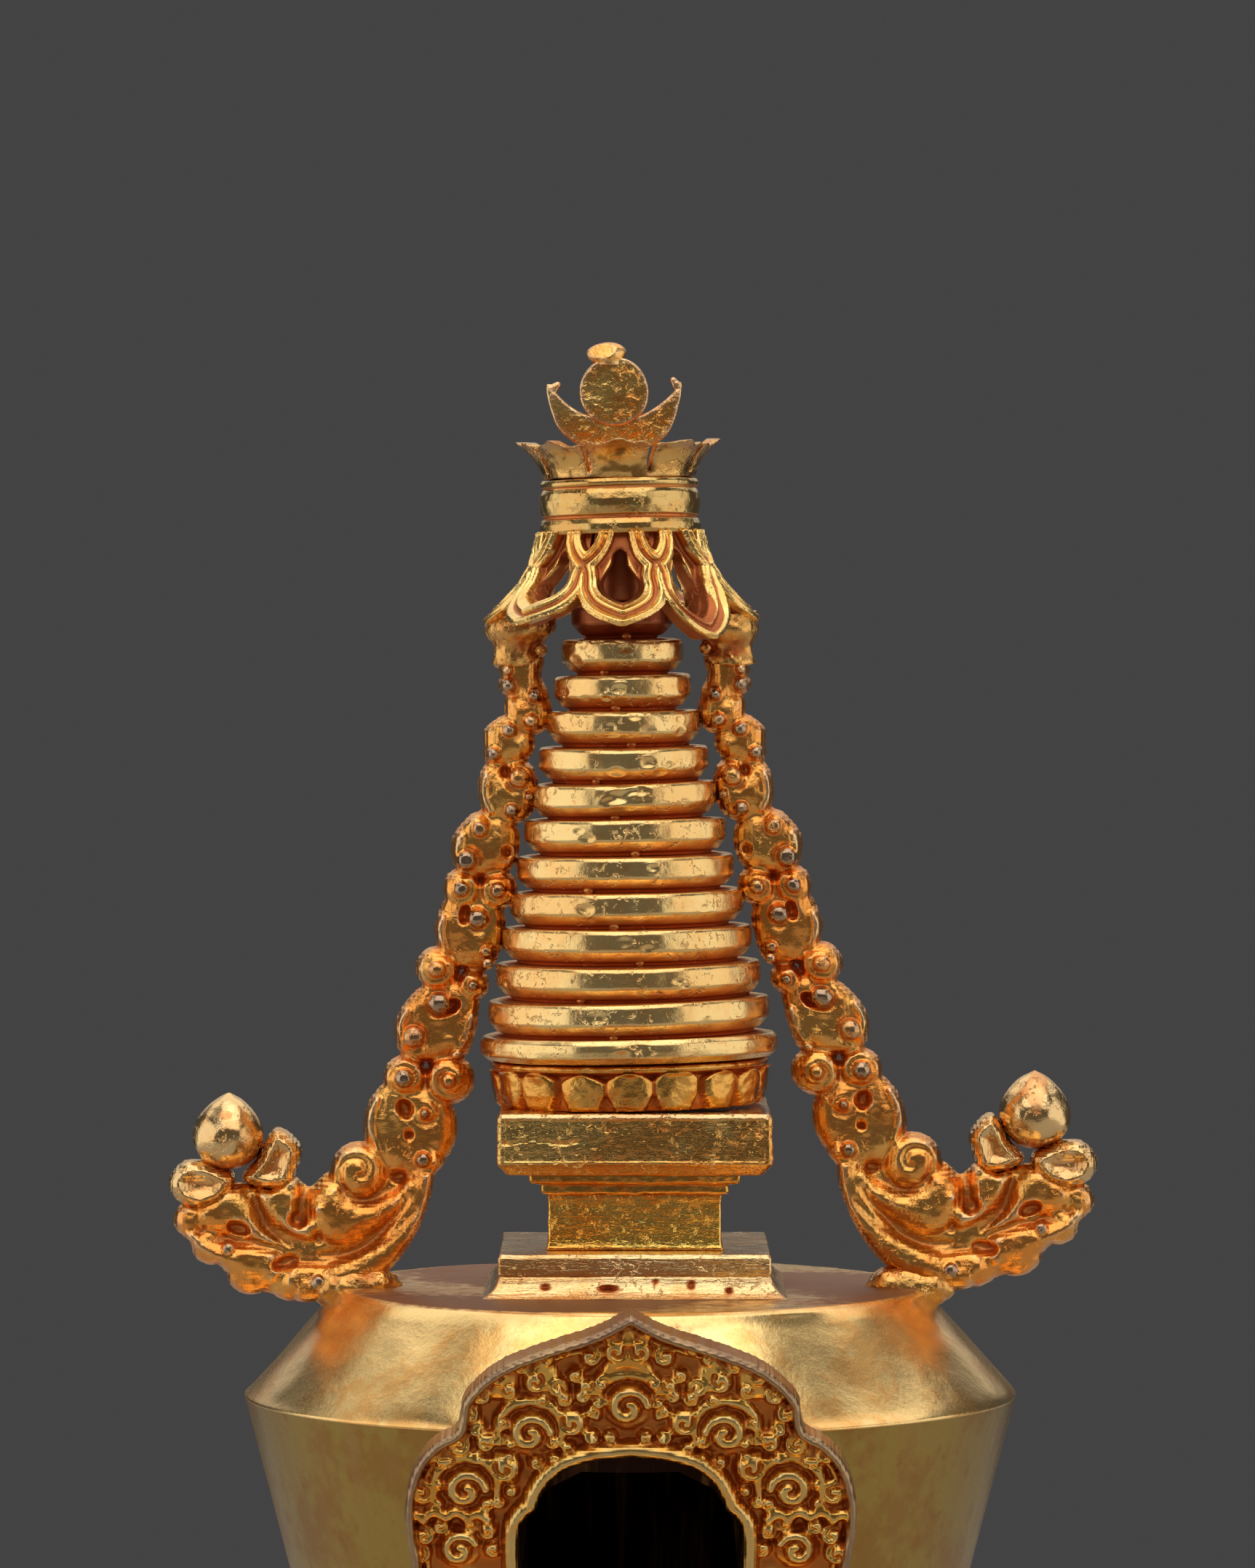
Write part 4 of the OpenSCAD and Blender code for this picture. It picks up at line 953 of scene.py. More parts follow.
# leaves between the scrolls
leafy([(750, 1856), (762, 1880), (772, 1912), (764, 1934), (742, 1930), (724, 1918), (716, 1900), (730, 1878)], 0.85)
leafy([(690, 1880), (712, 1876), (716, 1902), (708, 1934), (690, 1938), (672, 1934), (664, 1912)], 0.8)
leafy([(616, 1974), (632, 1980), (648, 1996), (648, 2014), (622, 2020), (596, 2030), (584, 2024), (598, 1998)], 0.8)
leafy([(862, 1816), (880, 1850), (900, 1890), (902, 1908), (862, 1898), (822, 1908), (824, 1890), (844, 1850)], 0.85, 0.6, False)
leafy([(772, 1946), (794, 1950), (808, 1968), (804, 1984), (786, 1986), (768, 1974)], 0.9)
leafy([(676, 2004), (700, 2010), (714, 2030), (710, 2050), (692, 2052), (676, 2040)], 0.9)
leafy([(556, 2050), (572, 2040), (592, 2046), (600, 2066), (588, 2082), (566, 2084)], 0.85)
leafy([(648, 1944), (660, 1954), (672, 1976), (680, 1998), (664, 2006), (650, 1990), (640, 1966)], 0.85)
leafy([(806, 1852), (824, 1846), (830, 1866), (814, 1892), (798, 1896), (792, 1874)], 0.7)
# the great scrolls
for (px, py, m) in ((862, 1941, False), (727, 1978, True), (638, 2056, True)):
    curl(px, py, 35, 5, 1, 0.92, m, 1.0)
    for q in (-1, 1):                                        # the leaf that wraps each one
        pts = [(px + q * 42, py + 16), (px + q * 43, py - 14), (px + q * 27, py - 36), (px + q * 6, py - 42)]
        for c_ in ([1, -1] if m else [1]):
            pp = spline(plm([(862 + c_ * (x - 862), y) for x, y in pts]), 5)
            rel.stroke(pp, 0.46, 0.42, 0.62, (0.6, 0.95))
for (px, py, r, st, fl) in ((735, 1908, 14, 60, 1), (750, 1876, 9, 100, -1), (765, 1916, 12, 200, -1), (775, 1932, 10, 40, 1), (784, 1964, 17, 30, -1),
                            (682, 1899, 13, 120, 1), (659, 1927, 12, 150, 1), (698, 1921, 10, 20, -1), (716, 1888, 9, 60, 1), (644, 1952, 11, 120, 1),
                            (653, 1974, 9, 200, -1), (666, 1991, 12, 60, 1), (692, 2027, 18, 30, -1), (701, 2060, 7, 90, 1), (629, 1995, 14, 90, 1),
                            (588, 2008, 12, 160, 1), (604, 2022, 9, 20, -1), (578, 2062, 15, 120, 1), (812, 1873, 12, 120, 1), (790, 1900, 9, 30, 1),
                            (826, 1908, 9, 200, -1), (846, 1866, 15, 30, 1), (800, 1927, 9, 90, 1), (772, 1862, 9, 150, 1), (812, 1950, 8, 60, 1), (668, 2078, 9, 30, 1),
                            (690, 1966, 8, 90, 1), (602, 2052, 7, 10, 1), (760, 2014, 7, 0, 1), (744, 1935, 8, 0, 1)):
    curl(px, py, r, st, fl, 0.75)
for (px, py, r, st, fl) in ((700, 2012, 8, 60, 1), (676, 1985, 9, 120, 1), (616, 2020, 8, 60, 1), (758, 1992, 9, 30, -1), (806, 1915, 10, 60, 1), (822, 1935, 9, 150, 1),
                            (838, 1985, 8, 90, -1), (780, 2000, 8, 30, 1), (700, 1990, 9, 200, 1), (684, 2075, 8, 60, 1), (654, 2012, 8, 150, -1), (600, 2078, 8, 0, 1),
                            (736, 2020, 9, 60, 1), (812, 1985, 9, 150, -1), (838, 1845, 8, 60, 1)):
    curl(px, py, r, st, fl, 0.75)
# the capital: a wavy ledge, with scrolls packed below it
for (x0, x1, yy) in ((552, 580, 2094), (580, 610, 2090), (610, 640, 2090), (640, 668, 2093)):
    for c_ in (1, -1):
        pts = [(x0, yy + 5), ((x0 + x1) / 2, yy - 4), (x1, yy + 5)]
        rel.stroke(spline(plm([(862 + c_ * (x - 862), y) for x, y in pts]), 5), 0.5, 0.4, 0.85, (0.85, 0.85))
for (px, py, r, st, fl) in ((629, 2138, 31, 20, 1), (582, 2120, 12, 120, 1), (574, 2146, 13, 60, 1), (668, 2114, 11, 30, -1), (604, 2108, 10, 90, 1), (646, 2106, 9, 60, 1),
                            (676, 2140, 10, 30, 1)):
    curl(px, py, r, st, fl, 0.85)
for i in range(13):                                            # scrolls carried on down the jambs, out of sight of the front view
    yy = 15.0 - i * 1.15
    for sx in (-1, 1):
        cx = sx * (9.7 + (0.8 if i % 2 else -0.8) - 0.10 * i)
        rel.disc(cx, yy, 0.95, 0.55, 0.5, outline=False)
        sp = spiral(0, 0, 0.62, 0.1, 90 + 90 * (i % 2), -0.85)
        rel.stroke(np.stack([cx + sx * sp[:, 0], yy + sp[:, 1]], 1), 0.36, 0.45, 0.85)
gq = np.stack([rel.A, rel.B, 0 * rel.A], -1)
rel.H = np.where(rel.H > 0, np.maximum(rel.H, 0.34 + 0.22 * vnoise(gq, 0.55, 12) + 0.12 * vnoise(gq, 1.3, 14)), rel.H)
rel.soften(0.07)
# the rims: a cord around the outside, a plain bead around the opening
drim = dO - 0.30
Hr = 1.30 * np.sqrt(np.clip(1 - (drim / 0.38) ** 2, 0, 1)) + 0.3
rel.H = np.where(np.abs(drim) < 0.38, np.maximum(rel.H, Hr), rel.H)
dr2 = -dM - 0.55
Hr = 1.15 * np.sqrt(np.clip(1 - (dr2 / 0.6) ** 2, 0, 1)) + 0.3
rel.H = np.where(np.abs(dr2) < 0.6, np.maximum(rel.H, Hr), rel.H)
dr3 = dO - 0.95                                               # fine inner bead
rel.H = np.where(np.abs(dr3) < 0.2, np.maximum(rel.H, 0.35 + 0.45 * np.sqrt(np.clip(1 - (dr3 / 0.2) ** 2, 0, 1))), rel.H)
q2 = np.stack([rel.A, rel.B, 0 * rel.A], -1)
rel.H = rel.H + 0.03 * vnoise(q2, 0.9, 3) + 0.02 * vnoise(q2, 3.1, 5)
v = Vol((-15.0, 0.3, -1.1), (15.0, 34.4, 2.4), 0.1)
ia = np.clip(((v.lo[0] + v.h * np.arange(v.n[0])) - rel.a0) / rel.h, 0, rel.na - 1.01).astype(int)
ib = np.clip(((v.lo[1] + v.h * np.arange(v.n[1])) - rel.b0) / rel.h, 0, rel.nb - 1.01).astype(int)
H = rel.H[np.ix_(ia, ib)]; S3 = S[np.ix_(ia, ib)]
f = np.maximum((v.Z - H[:, :, None]) * 0.8, -0.5 - v.Z)
f = np.maximum(f, -(S3 - 0.02)[:, :, None])
V, F, cav = surface(v, f, 0.45)
low = 0.30 * sstep(0.75, 0.35, V[:, 2])
jx = np.clip(((V[:, 0] - rel.a0) / rel.h).astype(int), 0, rel.na - 1); jy = np.clip(((V[:, 1] - rel.b0) / rel.h).astype(int), 0, rel.nb - 1)
isrim = (dO[jx, jy] < 0.66) | (-dM[jx, jy] < 0.95)


def to_world(Q):
    x, y, n = Q[:, 0], Q[:, 1], Q[:, 2]
    return np.stack([x, -R_WALL0 - y * SL - n * CL, Z_WALL + y * CL - n * SL], 1)


# quads of the outer rim go to their own piece's finish through a second material
fr = build("niche_surround", to_world(V), [F], M_NICHE, ("niche_frame", "niche_outer_rim", "niche_inner_rim"), attrs={"cav": np.where(isrim, cav * 0.7 - 0.15, cav + low)})
fr.data.materials.append(M_RIM)
outer = dO[jx, jy] < 0.62
fo = outer[F].all(1)
if len(fr.data.polygons) == len(F):
    fr.data.polygons.foreach_set("material_index", fo.astype(np.int32))

# the hood behind the face, back to the wall and the shoulder
HA = [[-11.6, 1.4], [11.6, 1.4], [13.3, 19.5], [12.7, 22.8], [9.9, 24.9], [9.5, 27.6], [5.1, 30.4], [-5.1, 30.4], [-9.5, 27.6], [-9.9, 24.9],
      [-12.7, 22.8], [-13.3, 19.5]]
HB = [[-9.8, 2.6], [9.8, 2.6], [11.4, 19.5], [10.9, 21.8], [8.2, 23.4], [7.8, 26.4], [4.3, 28.4], [-4.3, 28.4], [-7.8, 26.4], [-8.2, 23.4],
      [-10.9, 21.8], [-11.4, 19.5]]
v = Vol((-14.0, 0.8, -8.0), (14.0, 31.2, 0.0), 0.16)
r2 = Relief(v.lo[0], v.lo[0] + v.h * (v.n[0] - 0.5), v.lo[1], v.lo[1] + v.h * (v.n[1] - 0.5), v.h)
wA, dA = r2.poly_d(HA, 60); wB, dB = r2.poly_d(HB, 60)
g = np.minimum(dA, -dB)[:v.n[0], :v.n[1]]
yw = R_WALL0 + v.Y * SL + v.Z * CL
zw = Z_WALL + v.Y * CL - v.Z * SL
rad = np.sqrt(v.X ** 2 + yw ** 2)
cone = np.minimum((rad - (R_WALL0 + TAPER * (zw - Z_WALL))) * CL, 1e9)
sh = np.where(zw > Z_RIDGE, (rad - (R_RIDGE - (zw - Z_RIDGE) * (R_RIDGE - 18.8) / 7.0)) * 0.74, cone)
out = np.maximum(np.where(zw > Z_TOP, 1.0, sh), 0 * sh - 5)
G3 = np.full(tuple(v.n), -3.0, np.float32)
for kz in range(v.n[2]):
    dj = int(round(0.62 * -float(v.Z[0, 0, kz]) / v.h))
    G3[:, :v.n[1] - dj, kz] = g[:, dj:] if dj else g
f = np.maximum(np.maximum(-G3, v.Z + 0.42), 0.06 - out)
f = np.maximum(f, -7.6 - v.Z)
V, F, cav = surface(v, f.astype(np.float32), 0.5)
build("niche_hood", to_world(V), [F], M_RIM, attrs={"cav": cav + 0.15})


# ------------------------------------------------------------------ streamers
def W(px, py):
    return (px - 866) * 0.04717, (3370 - py) * 0.04717


def WL(pts):
    return [W(a, b) for a, b in pts]


K = 0.04717
rel = Relief(-30.4, -3.4, 73.6, 120.4, 0.06)
G = rel


def lob(pts, top=1.25, rim=0.25, leaf=True, edge=0.55):
    p = spline(WL(pts), 5, True)
    G.body(p, top + 0.16, 1.5, 0.0, 0.3, 0.0)
    if leaf:                                            # furrows that fan along the lobe
        c = p.mean(0)
        u, s_, vt = np.linalg.svd(p - c)
        d = vt[0]; n = np.array([-d[1], d[0]])
        L = np.abs((p - c) @ d).max() * 0.75; wd = np.abs((p - c) @ n).max()
        for k in (-0.3, 0.35):
            q = [c + d * L * t + n * wd * k * (1 - 0.5 * t * t) for t in (-0.8, -0.3, 0.3, 0.85)]
            G.groove(spline(q, 4), 0.45, 0.06)


KN = []


def scr(px, py, r, kn=0.0, top=1.62, rim=0.14):
    a, b = W(px, py)
    G.disc(a, b, r * K * 1.06, top + 0.08, r * K * 0.75, 0, 0.13, 0.0)
    if r * K > 0.8:                                    # the roll of the scroll
        sgn = 1 if (px + py) % 2 else -1
        sp = spiral(0, 0, r * K * 0.86, max(kn * K * 1.15, 0.3), 40 + px % 300, sgn * 0.85)
        G.groove(np.stack([a + sp[:, 0], b + sp[:, 1]], 1), 0.16, 0.30)
    if kn:
        KN.append((a, b, kn * K * 1.2, top - 0.08, 0.6))


def hole(px, py, ra, rb, ang=0.0, lvl=0.45):
    a, b = W(px, py)
    G.pit(a, b, ra * K, rb * K, lvl, ang)


lob([(694, 900), (744, 900), (742, 930), (752, 955), (755, 985), (738, 1008), (712, 1006), (700, 985), (702, 955), (690, 935)], 1.15, leaf=False)
lob([(697, 958), (740, 955), (757, 978), (748, 1003), (725, 1010), (700, 1000)], 1.35)
lob([(670, 1000), (700, 985), (730, 1010), (733, 1030), (720, 1048), (692, 1057), (670, 1045), (666, 1020)], 1.3)
lob([(672, 1050), (705, 1046), (732, 1062), (738, 1090), (728, 1120), (700, 1135), (672, 1125), (659, 1095), (660, 1068)], 1.25)
lob([(640, 1130), (665, 1116), (695, 1120), (712, 1145), (709, 1180), (690, 1203), (650, 1205), (626, 1185), (622, 1155)], 1.25)
lob([(612, 1238), (640, 1226), (680, 1232), (692, 1262), (690, 1292), (680, 1322), (665, 1335), (630, 1330), (606, 1308), (599, 1280), (603, 1258)], 1.2)
lob([(590, 1352), (625, 1346), (655, 1368), (655, 1398), (650, 1424), (638, 1452), (600, 1460), (562, 1458), (546, 1438), (543, 1412), (552, 1390), (568, 1368)], 1.25)
lob([(528, 1492), (560, 1482), (600, 1498), (620, 1522), (627, 1552), (620, 1580), (600, 1608), (575, 1628), (540, 1620), (512, 1592), (500, 1560), (504, 1528), (514, 1506)], 1.2)
# the hook
hook = [(592, 1600), (592, 1628), (583, 1662), (562, 1708), (530, 1747), (490, 1772), (445, 1787), (405, 1788), (360, 1776), (322, 1760), (300, 1740), (280, 1722),
        (262, 1706), (248, 1688), (243, 1664), (262, 1652), (290, 1652), (320, 1630), (345, 1632), (372, 1640), (400, 1622), (424, 1634), (442, 1620), (458, 1606),
        (480, 1580), (520, 1580), (560, 1588)]
p = spline(WL(hook), 4, True)
G.body(p, 0.85, 1.2, 0.0, 0.22, 0.0)


def leaf(pts, top, edge=0.9):
    G.body(spline(WL(pts), 4, True), top, edge, outline=False)


# the leaves that fill the hook, each a rounded swelling
leaf([(262, 1664), (290, 1642), (318, 1632), (344, 1646), (356, 1676), (384, 1704), (396, 1720), (362, 1716), (330, 1706), (298, 1700), (272, 1690)], 1.45, 1.3)
leaf([(350, 1644), (364, 1630), (392, 1626), (412, 1640), (410, 1664), (434, 1698), (424, 1708), (394, 1696), (366, 1676)], 1.75, 0.9)
leaf([(424, 1648), (456, 1622), (496, 1650), (532, 1640), (556, 1630), (562, 1660), (520, 1692), (478, 1712), (444, 1708), (426, 1678)], 1.7, 1.4)
leaf([(300, 1728), (322, 1708), (352, 1706), (384, 1716), (396, 1742), (380, 1768), (344, 1764), (312, 1750)], 1.6, 1.1)
leaf([(244, 1668), (256, 1656), (272, 1662), (276, 1684), (262, 1698), (248, 1688)], 1.3, 0.6)
leaf([(388, 1748), (414, 1736), (452, 1742), (470, 1762), (452, 1782), (412, 1786), (386, 1772)], 1.65, 0.9)
G.stroke(spline(WL([(590, 1600), (578, 1655), (552, 1700), (512, 1738), (466, 1758), (420, 1772)]), 6), 1.25, 0.75, 1.05, (0.75, 0.8))
G.stroke(spline(WL([(262, 1700), (284, 1718), (308, 1728), (328, 1728)]), 6), 0.55, 0.9, 0.6, (0.8, 0.6))
for (x, y, r) in ((260, 1679, 22), (288, 1714, 25), (343, 1750, 31), (396, 1762, 27), (446, 1765, 23)):
    a, b = W(x, y); G.disc(a, b, r * K, 1.35, r * K)              # the lumpy underside
for (x, y, r, t_) in ((440, 1662, 13, 1.75), (424, 1690, 15, 1.7), (312, 1716, 11, 1.7), (566, 1636, 18, 1.6), (460, 1640, 12, 1.6), (400, 1630, 12, 1.55)):
    a, b = W(x, y); G.disc(a, b, r * K, t_, r * K * 0.9, outline=False)
for pts in ([(418, 1640), (414, 1668), (438, 1706)], [(352, 1650), (362, 1684), (394, 1710)], [(570, 1664), (534, 1700), (482, 1722), (440, 1726)],
            [(296, 1704), (340, 1712), (384, 1722)]):
    G.groove(spline(WL(pts), 6), 0.26, 0.26)
for (x, y, r, k) in ((713, 1070, 21, 11), (700, 1005, 14, 8), (635, 1222, 24, 9), (684, 1224, 24, 9), (657, 1263, 20, 11), (601, 1332, 27, 10),
                     (650, 1354, 19, 6), (604, 1379, 18, 12), (569, 1425, 20, 12), (556, 1482, 27, 11), (617, 1485, 31, 9), (584, 1530, 18, 6), (582, 1594, 20, 9),
                     (660, 1140, 20, 9), (642, 1182, 17, 11), (730, 991, 13, 8), (679, 1037, 13, 8), (493, 1611, 36, 0), (372, 1752, 12, 0),
                     (438, 1762, 14, 9), (727, 1095, 8, 5), (703, 1114, 12, 8), (698, 922, 10, 6), (699, 943, 12, 8), (734, 957, 11, 7)):
    scr(x, y, r, k, 1.62 if r > 16 else 1.5)
for (x, y, r) in ((668, 1308, 8), (670, 1325, 8), (628, 1450, 7), (314, 1716, 9)):
    a, b = W(x, y); KN.append((a, b, r * K, 1.25, 0.4))
for (x, y, ra, rb, an) in ((694, 1061, 6, 7, 0), (697, 1172, 5, 7, 0), (639, 1257, 6, 12, -0.2), (620, 1384, 12, 7, 0.6), (556, 1524, 9, 13, 0.5), (547, 1618, 11, 7, 0.2),
                           (409, 1677, 11, 11, 0), (327, 1690, 15, 9, -0.3), (392, 1736, 18, 8, 0.3), (562, 1560, 4, 5, 0)):
    hole(x, y, ra, rb, an)
# soft swellings that run down the outer side of each lobe
for pts in ([(668, 1068), (664, 1092), (676, 1118)], [(634, 1150), (630, 1176), (644, 1194)], [(607, 1262), (604, 1284), (614, 1308)], [(556, 1390), (550, 1412), (556, 1436)],
            [(516, 1512), (509, 1545), (520, 1582)], [(648, 1398), (643, 1420), (630, 1445)]):
    G.stroke(spline(WL(pts), 5), 0.42, 1.18, 0.26, (0.7, 0.5), inside_only=True)
G.soften(0.10)
for kq in KN:
    G.knob(*kq)
v = Vol((-30.3, -2.2, 73.7), (-3.5, 2.2, 120.2), 0.1)
ia = np.clip(((v.lo[0] + v.h * np.arange(v.n[0])) - G.a0) / G.h, 0, G.na - 1.01).astype(int)
ib = np.clip(((v.lo[2] + v.h * np.arange(v.n[2])) - G.b0) / G.h, 0, G.nb - 1.01).astype(int)
q2 = np.stack([G.A, G.B, 0 * G.A], -1)
Hh = G.H + (G.H > 0.1) * (0.09 * vnoise(q2, 0.8, 3) + 0.05 * vnoise(q2, 2.3, 5))
Hh = Hh[np.ix_(ia, ib)][:, None, :]; S3 = G.S[np.ix_(ia, ib)][:, None, :]
ay = np.abs(v.Y)
fa = (ay - Hh) * 0.75
fb = -S3 - 0.15 * sstep(1.3, 0.6, ay)
k = 0.3
f = np.maximum(fa, fb)
m = (fa > -k) & (fb > -k)
f = np.where(m, np.hypot(np.maximum(fa + k, 0), np.maximum(fb + k, 0)) - k, f).astype(np.float32)
V, F, cav = surface(v, f, 0.42)
cav = cav + 0.22 * sstep(1.0, 0.3, np.abs(V[:, 1]))
worn = np.zeros(len(V))
for n_, (a, b, rr, *_r) in enumerate(KN):                     # the gilding has gone from the crowns of the knobs
    worn = np.maximum(worn, (0.45 + 0.5 * ((n_ * 7) % 5) / 4) * (np.hypot(V[:, 0] - a, V[:, 2] - b) < rr * 0.95) * (np.abs(V[:, 1]) > 1.55))
build("streamer_scrollwork_left", V, [F], M_SCROLL, ("streamer_left",), attrs={"cav": cav, "ox": worn})


def to_right(V):
    """The left one turned over, a little higher, and nudged to where the right one hangs."""
    Q = V.copy()
    py = 3370 - Q[:, 2] / K
    ax = np.interp(py, [900, 1000, 1180, 1264, 1600, 1750], [858, 858.5, 862, 863, 874, 872])
    far = sstep(-20, -26, Q[:, 0]) * sstep(1750, 1560, py)
    up = np.interp(py, [880, 1000, 1250, 1600, 1800], [2, 2, 6, 14, 14]) + 14 * sstep(-18, -27, Q[:, 0])
    ax = ax * (1 - far) + 869 * far
    Q[:, 0] = 2 * (ax - 866) * K - Q[:, 0]
    Q[:, 2] += up * K
    Q[:, 0] += 0.05 * np.sin(Q[:, 2] * 0.9)
    return Q


build("streamer_scrollwork_right", to_right(V), [F], M_SCROLL, ("streamer_right",), attrs={"cav": cav, "ox": worn})


# jewels and their two leaves
def egg(cx, cz, r, n=120, m=96):
    t = np.linspace(0, math.pi, m)
    prof = []
    for a in t:
        rr = r * math.sin(a) * (1 - 0.03 * math.cos(a) - 0.17 * max(0, math.cos(a)) ** 2)
        zz = r * math.cos(a) * (1.0 + 0.10 * max(0, math.cos(a)) ** 3)
        if a < 0.35:
            zz += r * 0.05 * (1 - a / 0.35) ** 2
        prof.append([max(rr, 0.004), zz])
    prof = np.array(prof + [[0.002, -r * 0.5], [0.002, r * 0.5]])
    V, F = lathe(prof, n)
    d = V / (np.linalg.norm(V, axis=1)[:, None] + 1e-6)
    V = V + d * (0.10 * fbm(V + cx, 0.4, 3, 3))[:, None] * (np.hypot(V[:, 0], V[:, 1])[:, None] > 0.05)
    cav = 0.35 * sstep(-r * 0.55, -r * 0.95, V[:, 2]) + 0.25 * (vnoise(V + cx, 0.55, 8) > 0.35)
    V += np.array([cx, 0, cz])
    return V, F, cav


JL = W(314, 1560); JR = W(1423, 1530)
V, F, cav = egg(JL[0], JL[1], 2.33)
build("wish_jewel_left", V, [F], M_JEWEL, ("jewel_left",), attrs={"cav": cav})
V, F, cav = egg(JR[0], JR[1], 2.36)
build("wish_jewel_right", V, [F], M_JEWEL, ("jewel_right",), attrs={"cav": cav})

LV = []
for poly, mid in (([(382, 1553), (412, 1578), (406, 1610), (396, 1630), (370, 1636), (345, 1630), (333, 1618), (353, 1595), (364, 1573)], (352, 1618)),
                  ([(252, 1600), (234, 1618), (235, 1640), (252, 1657), (275, 1662), (300, 1655), (316, 1640), (321, 1618), (292, 1602), (270, 1598)], (306, 1625))):
    p = spline(WL(poly), 5, True)
    lo, hi = p.min(0) - 0.5, p.max(0) + 0.5
    rl = Relief(lo[0], hi[0], lo[1], hi[1], 0.06)
    w, d = rl.poly_d(p, 5)
    c0 = np.array(W(*mid))
    dist = np.hypot(rl.A - c0[0], rl.B - c0[1])
    # the front stands out as a cupped, beaten face; the back is a rounded belly
    front = 0.45 + 1.05 * np.sqrt(np.clip(d / 0.6, 0, 1)) - 0.42 * sstep(0.35, 1.5, d) + 0.25 * sstep(1.0, 3.0, dist)
    an = np.arctan2(rl.B - c0[1], rl.A - c0[0])
    front = front + 0.022 * np.sin(an * 21 + dist) * sstep(1.2, 2.6, dist)
    v = Vol((lo[0], -1.9, lo[1]), (hi[0], 1.7, hi[1]), 0.08)
    ia = np.clip(((v.lo[0] + v.h * np.arange(v.n[0])) - rl.a0) / rl.h, 0, rl.na - 1.01).astype(int)
    ib = np.clip(((v.lo[2] + v.h * np.arange(v.n[2])) - rl.b0) / rl.h, 0, rl.nb - 1.01).astype(int)
    dd = np.full((rl.na, rl.nb), -2.0); dd[w] = d
    D = dd[np.ix_(ia, ib)][:, None, :]; FR = front[np.ix_(ia, ib)][:, None, :]
    back = 0.3 + 0.95 * np.sqrt(np.clip(D / 1.2, 0, 1))
    f = np.maximum(np.where(v.Y < 0, (-v.Y - FR), (v.Y - back)) * 0.8, -D - 0.10 * sstep(0.9, 0.0, np.abs(v.Y)))
    Vq, Fq, cv = surface(v, f.astype(np.float32), 0.4)
    LV.append((Vq, Fq, cv + 0.25 * sstep(-0.6, 0.2, Vq[:, 1])))
off, VV, FF, CC = 0, [], [], []
for a, b, c in LV:
    VV.append(a); FF.append(b + off); CC.append(c); off += len(a)
VV, FF, CC = np.vstack(VV), np.vstack(FF), np.concatenate(CC)
build("jewel_leaf_pair_left", VV, [FF], M_JEWEL, ("jewel_leaves_left",), attrs={"cav": CC})
build("jewel_leaf_pair_right", to_right(VV), [FF], M_JEWEL, ("jewel_leaves_right",), attrs={"cav": CC})


# sockets under the canopy, and the lumps of solder where the streamers stand on the shoulder
def blob(name, lo, hi, fn, mat, node, h=0.09, extra=0.15):
    v = Vol(lo, hi, h)
    X, Y, Z = np.broadcast_arrays(v.X, v.Y, v.Z)
    V, F, cav = surface(v, fn(X, Y, Z, v).astype(np.float32), 0.4)
    return build(name, V, [F], mat, (node,) if node else (), attrs={"cav": cav + extra})


def socket(sx, cx, low):
    def fn(X, Y, Z, v):
        r = 1.45 + 0.75 * sstep(low + 0.2, 118.7, Z) + 0.12 * np.sin(Z * 3.1)
        f = np.hypot(X - cx - 0.16 * sx * (119 - Z), Y) - r
        f = np.maximum(np.maximum(f, Z - 119.3), low - Z)
        for (dx, zz, rr) in ((-sx * 1.15, low + 1.05, 0.42), (sx * 0.5, low + 0.35, 0.4), (0.3, low + 1.9, 0.3), (-sx * 0.3, low + 1.2, 0.28)):
            f = smin(f, np.sqrt((X - cx - dx) ** 2 + (np.abs(Y) - 1.2) ** 2 + (Z - zz) ** 2) - rr, 0.2)
        return f + 0.16 * vnoise(v.pts(), 0.9, 3) + 0.06 * vnoise(v.pts(), 2.4, 5)
    return fn


blob("canopy_stub_left", (-11.2, -2.9, 115.2), (-3.8, 2.9, 119.6), socket(-1, -7.0, 115.7), M_LUMP, "canopy_socket_left")
blob("canopy_stub_right", (2.6, -2.9, 115.2), (10.2, 2.9, 119.6), socket(1, 6.1, 115.9), M_LUMP, "canopy_socket_right")


def lump(cx, sx, zt):
    def fn(X, Y, Z, v):
        f = np.sqrt(((X - cx) / 2.9) ** 2 + (Y / 2.2) ** 2 + ((Z - 75.4) / (zt - 75.4)) ** 2) - 1
        f = f * 1.5
        f = smin(f, np.sqrt((X - cx - sx * 1.7) ** 2 + (Y + 0.9) ** 2 + (Z - 75.6) ** 2) - 0.9, 0.5)
        f = smin(f, np.sqrt((X - cx + sx * 1.5) ** 2 + (Y + 1.1) ** 2 + (Z - 75.9) ** 2) - 0.8, 0.4)
        rr = np.hypot(X, Y)
        dome = np.maximum((rr - (25 - (Z - 68.5) * 6.2 / 7.0)) * 0.74, Z - 75.5)
        f = np.maximum(f, -dome - 0.35)
        return f + 0.14 * vnoise(v.pts(), 0.9, 3) + 0.06 * vnoise(v.pts(), 2.6, 5)
    return fn


blob("shoulder_lump_left", (-22.5, -3.4, 71.5), (-14.0, 3.4, 78.6), lump(-17.9, -1, 77.2), M_LUMP, "shoulder_post_left", 0.11)
blob("shoulder_lump_right", (14.0, -3.4, 71.5), (22.5, 3.4, 78.6), lump(18.1, 1, 77.0), M_LUMP, "shoulder_post_right", 0.11)

